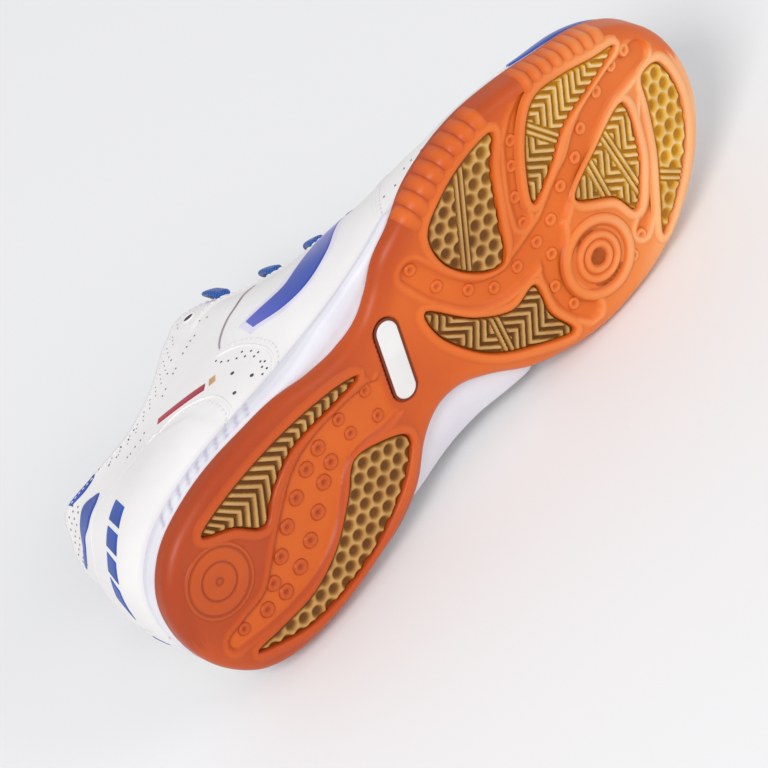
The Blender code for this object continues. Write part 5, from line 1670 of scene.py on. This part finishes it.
holes = bmesh.new()
for group, radius in HOLE_GROUPS:
    for foot, t in group:
        for side in (True, False):
            bmesh.ops.create_circle(holes, cap_ends=True, radius=radius, segments=10,
                                    matrix=seat_on_upper(foot, t, side, HOLE_LIFT))
face_out(holes)
sign_in("pinholes", holes, shadow)

# %% [markdown]
# ## Eyelets and laces
#
# Six pairs of punched eyelets run along the throat. Each is a rolled rim spun round the hole, with a disc of
# painted shade for the dark hole in it. The flat woven lace comes up from under the eyestay's edge, crosses
# the throat and goes down through the eyelet on the other side, as on the solids.

# %% Eyelets
RIM_PROFILE = [(3.3, 0.10), (3.1, -0.28), (2.7, -0.42), (2.3, -0.34), (2.05, -0.05), (2.0, 0.5)]
EYELET_RADIUS = 0.0021
PIT_LIFT = 0.00006
rims = bmesh.new()
pits = bmesh.new()
rim_mesh = spun(RIM_PROFILE, 28)
for side in (True, False):
    for foot in EYELETS:
        before = len(rims.verts)
        rims.from_mesh(rim_mesh)
        rims.verts.ensure_lookup_table()
        lie = seat_on_upper(foot, EYELET_ROW, side, 0.0)
        bmesh.ops.transform(rims, matrix=lie, verts=rims.verts[before:])
        bmesh.ops.create_circle(pits, cap_ends=True, radius=EYELET_RADIUS, segments=24,
                                matrix=seat_on_upper(foot, EYELET_ROW, side, PIT_LIFT))
bmesh.ops.recalc_face_normals(rims, faces=rims.faces)
face_out(rims)
face_out(pits)
sign_in("eyelet_rims", rims, leather)
sign_in("eyelet_holes", pits, shadow)

# %% Cloth of the laces
# Flat tubular lace, braided polyester: dull with a soft sheen, its yarns in a fine zigzag of
# about 0.9 mm across the width. The pattern follows the lace's own length and width.
YARN_FOLD = 0.0017
YARN_PITCH = 0.0011
braid, tree, shader = new_finish("braided_blue_polyester", {
    "Roughness": 0.72, "Sheen Weight": 0.35, "Sheen Roughness": 0.4, "Specular IOR Level": 0.3})
length = add(tree, "Attribute", {"attribute_name": "run"}).outputs["Fac"]
width = add(tree, "Attribute", {"attribute_name": "side"}).outputs["Fac"]
zig = add(tree, "Math", {"operation": "PINGPONG"}, {1: YARN_FOLD}, {0: width})
sum_up = add(tree, "Math", {"operation": "ADD"}, links={0: length, 1: zig.outputs["Value"]})
turned = add(tree, "Math", {"operation": "MULTIPLY"}, {1: math.tau / YARN_PITCH},
             {0: sum_up.outputs["Value"]})
wave = add(tree, "Math", {"operation": "SINE"}, links={0: turned.outputs["Value"]})
share_up = add(tree, "MapRange", inputs={"From Min": -1.0, "From Max": 1.0},
               links={"Value": wave.outputs["Value"]})
tint = add(tree, "ValToRGB", stops=[(0.0, "123E8C"), (0.5, "1B4FA0"), (1.0, "3A6CBC")],
           links={"Fac": share_up.outputs["Result"]})
relief = add(tree, "Bump", inputs={"Strength": 0.5, "Distance": 0.0003},
             links={"Height": share_up.outputs["Result"]})
tree.links.new(tint.outputs["Color"], shader.inputs["Base Color"])
tree.links.new(relief.outputs["Normal"], shader.inputs["Normal"])
print("finish:", braid.name)

# %% Laces
# Where the lace goes down at an eyelet, and where it comes from under the eyestay's edge.
DIVE_ROW = EYELET_ROW - 0.030
DIVE_DEPTH = 0.0010
UNDER_ROW = 0.95
UNDER_DEPTH = WALL + 0.0016
# Shares of the lace's length where it is gathered for an eyelet, and what that does to it.
GATHER_AT_START = (0.015, 0.14)
GATHER_AT_END = (0.86, 0.985)
GATHER_NARROWING = 0.45
GATHER_THICKENING = 0.2


def lace_stops(start, end, outer, from_below, bow):
    """The places that a run of the lace passes, each with the way that its flat side faces."""
    over = OVERLAY_STEP + LACE_THICKNESS / 2 + 2 * GAP
    if from_below:
        head = [over_upper(start - LACE_START_SHIFT, outer, UNDER_ROW, -UNDER_DEPTH),
                over_upper(start - LACE_START_SHIFT, outer, 1.0, -LACE_START_DEPTH)]
    else:
        head = [over_upper(start, outer, DIVE_ROW, -DIVE_DEPTH), over_upper(start, outer, EYELET_ROW, over),
                over_upper(start, outer, THROAT_ROW, over)]
    tail = [over_upper(end, not outer, THROAT_ROW, over + LACE_THICKNESS / 2),
            over_upper(end, not outer, EYELET_ROW, over), over_upper(end, not outer, DIVE_ROW, -DIVE_DEPTH)]
    flat = (head[-1][1] + tail[0][1]) / 2
    return head + [((head[-1][0] + tail[0][0]) / 2 + flat * bow, flat)] + tail


def signed_power(value, power):
    return np.sign(value) * np.abs(value) ** power


def ribbon(stops, gathers_at_start):
    """A flat lace swept through its stops, its section a flattened round."""
    knots = np.arange(len(stops))
    fine = np.linspace(0, len(stops) - 1, 160)
    line, up = [np.stack([smooth(knots, column)(fine) for column in np.array(rows).T], -1)
                for rows in zip(*stops)]
    run = np.gradient(line, axis=0)
    run /= np.linalg.norm(run, axis=1)[:, None]
    across = np.cross(run, up)
    across /= np.linalg.norm(across, axis=1)[:, None]
    up = np.cross(across, run)
    far = way_along(line)
    ticks = fine / fine[-1]
    print("run of the lace in mm:", round(far[-1] * 1000, 1))

    def ribbon_place(a, b):
        gather = np.maximum(ease(*GATHER_AT_END, a), gathers_at_start * (1 - ease(*GATHER_AT_START, a)))
        half = LACE_WIDTH / 2 * (1 - GATHER_NARROWING * gather)
        thick = (LACE_THICKNESS / 2 - 0.0001) * (1 + GATHER_THICKENING * gather)
        wide = signed_power(np.cos(b * math.tau), 0.6) * half
        high = signed_power(np.sin(b * math.tau), 0.8) * thick
        middle, side, out = [read_along(a, ticks, columns) for columns in (line, across, up)]
        point = middle + side * wide[:, None] + out * high[:, None]
        return point, {"run": np.interp(a, ticks, far), "side": wide + LACE_WIDTH}

    data = mapped_grid(110, 28, ribbon_place)
    close_seams(data, 1e-6)
    bmesh.ops.holes_fill(data, edges=[edge for edge in data.edges if edge.is_boundary], sides=0)
    bmesh.ops.recalc_face_normals(data, faces=data.faces)
    return data


laced = EYELETS[1:][::-1]
for k, (start, end) in enumerate(zip(laced[:-1], laced[1:]), 1):
    bow = LACE_BOW * (k / (len(laced) - 1)) ** 3
    over_run = ribbon(lace_stops(start, end, True, True, bow), False)
    under_run = ribbon(lace_stops(start, end, False, True, bow - LACE_THICKNESS / 2), False)
    sign_in("lace_run_%d_over" % k, over_run, braid, ["lace_crossing_%d" % k])
    sign_in("lace_run_%d_under" % k, under_run, braid)
front = ribbon(lace_stops(laced[0], laced[0], True, False, 0.0), True)
sign_in("lace_front", front, braid, ["lace_front_bar"])

# %% [markdown]
# ## Lining, tongue and insole
#
# The padded collar, the tongue and the foot bed are soft. Their solids already have the right
# shape, so each piece starts as a copy of its node, merged and turned back to quads, and two
# levels of subdivision round its corners into padding. The laces and the throat hold them.


# %% Knitted and woven cloths
def cloth(name, stops, pitch, strength):
    """Knitted polyester: rows of loops pitch metres apart, matt, with a faint sheen."""
    material, tree, shader = new_finish(name, {
        "Roughness": 0.85, "Sheen Weight": 0.3, "Sheen Roughness": 0.5, "Specular IOR Level": 0.25})
    place = add(tree, "TexCoord").outputs["Object"]
    loops = add(tree, "TexVoronoi", {"feature": "F1"}, {"Scale": 1 / pitch, "Randomness": 0.25},
                {"Vector": place})
    cloud = add(tree, "TexNoise", inputs={"Scale": 35.0, "Detail": 3.0}, links={"Vector": place})
    yarn = add(tree, "ValToRGB", stops=stops, links={"Fac": loops.outputs["Distance"]})
    patchy = add(tree, "ValToRGB", stops=[(0.3, "E8E8EA"), (0.7, "FFFFFF")],
                 links={"Fac": cloud.outputs["Fac"]})
    mixed = add(tree, "MixRGB", {"blend_type": "MULTIPLY"}, {"Fac": 0.7},
                {"Color1": yarn.outputs["Color"], "Color2": patchy.outputs["Color"]})
    relief = add(tree, "Bump", inputs={"Strength": strength, "Distance": 0.0004},
                 links={"Height": loops.outputs["Distance"]})
    tree.links.new(mixed.outputs["Color"], shader.inputs["Base Color"])
    tree.links.new(relief.outputs["Normal"], shader.inputs["Normal"])
    return material


lining_cloth = cloth("knitted_pale_lining", [(0.0, "D6D2DC"), (0.8, "EDEAF0")], 0.0014, 0.5)
tongue_cloth = cloth("white_spacer_mesh", [(0.0, "C9C5CE"), (0.7, "F0EEF0")], 0.0022, 0.7)
bed_cloth = cloth("blue_woven_bed", [(0.0, "16306E"), (0.8, "2C55A6")], 0.0016, 0.5)


# %% Soft pieces
def soften(node, name, finish):
    """A merged, subdivided copy of a soft node."""
    source = frame["nodes"][node]
    data = bmesh.new()
    data.from_mesh(source.data)
    data.transform(source.matrix_world)
    bmesh.ops.remove_doubles(data, verts=data.verts, dist=1e-5)
    bmesh.ops.join_triangles(data, faces=data.faces, angle_face_threshold=0.6, angle_shape_threshold=0.9)
    bmesh.ops.recalc_face_normals(data, faces=data.faces)
    data.transform(LAY.inverted())
    thing = sign_in(name, data, finish, [node])
    padding = thing.modifiers.new("padding", "SUBSURF")
    padding.levels = 2
    padding.render_levels = 2


soften("collar_lining", "padded_collar_lining", lining_cloth)
soften("tongue", "padded_tongue", tongue_cloth)
soften("insole", "foot_bed", bed_cloth)
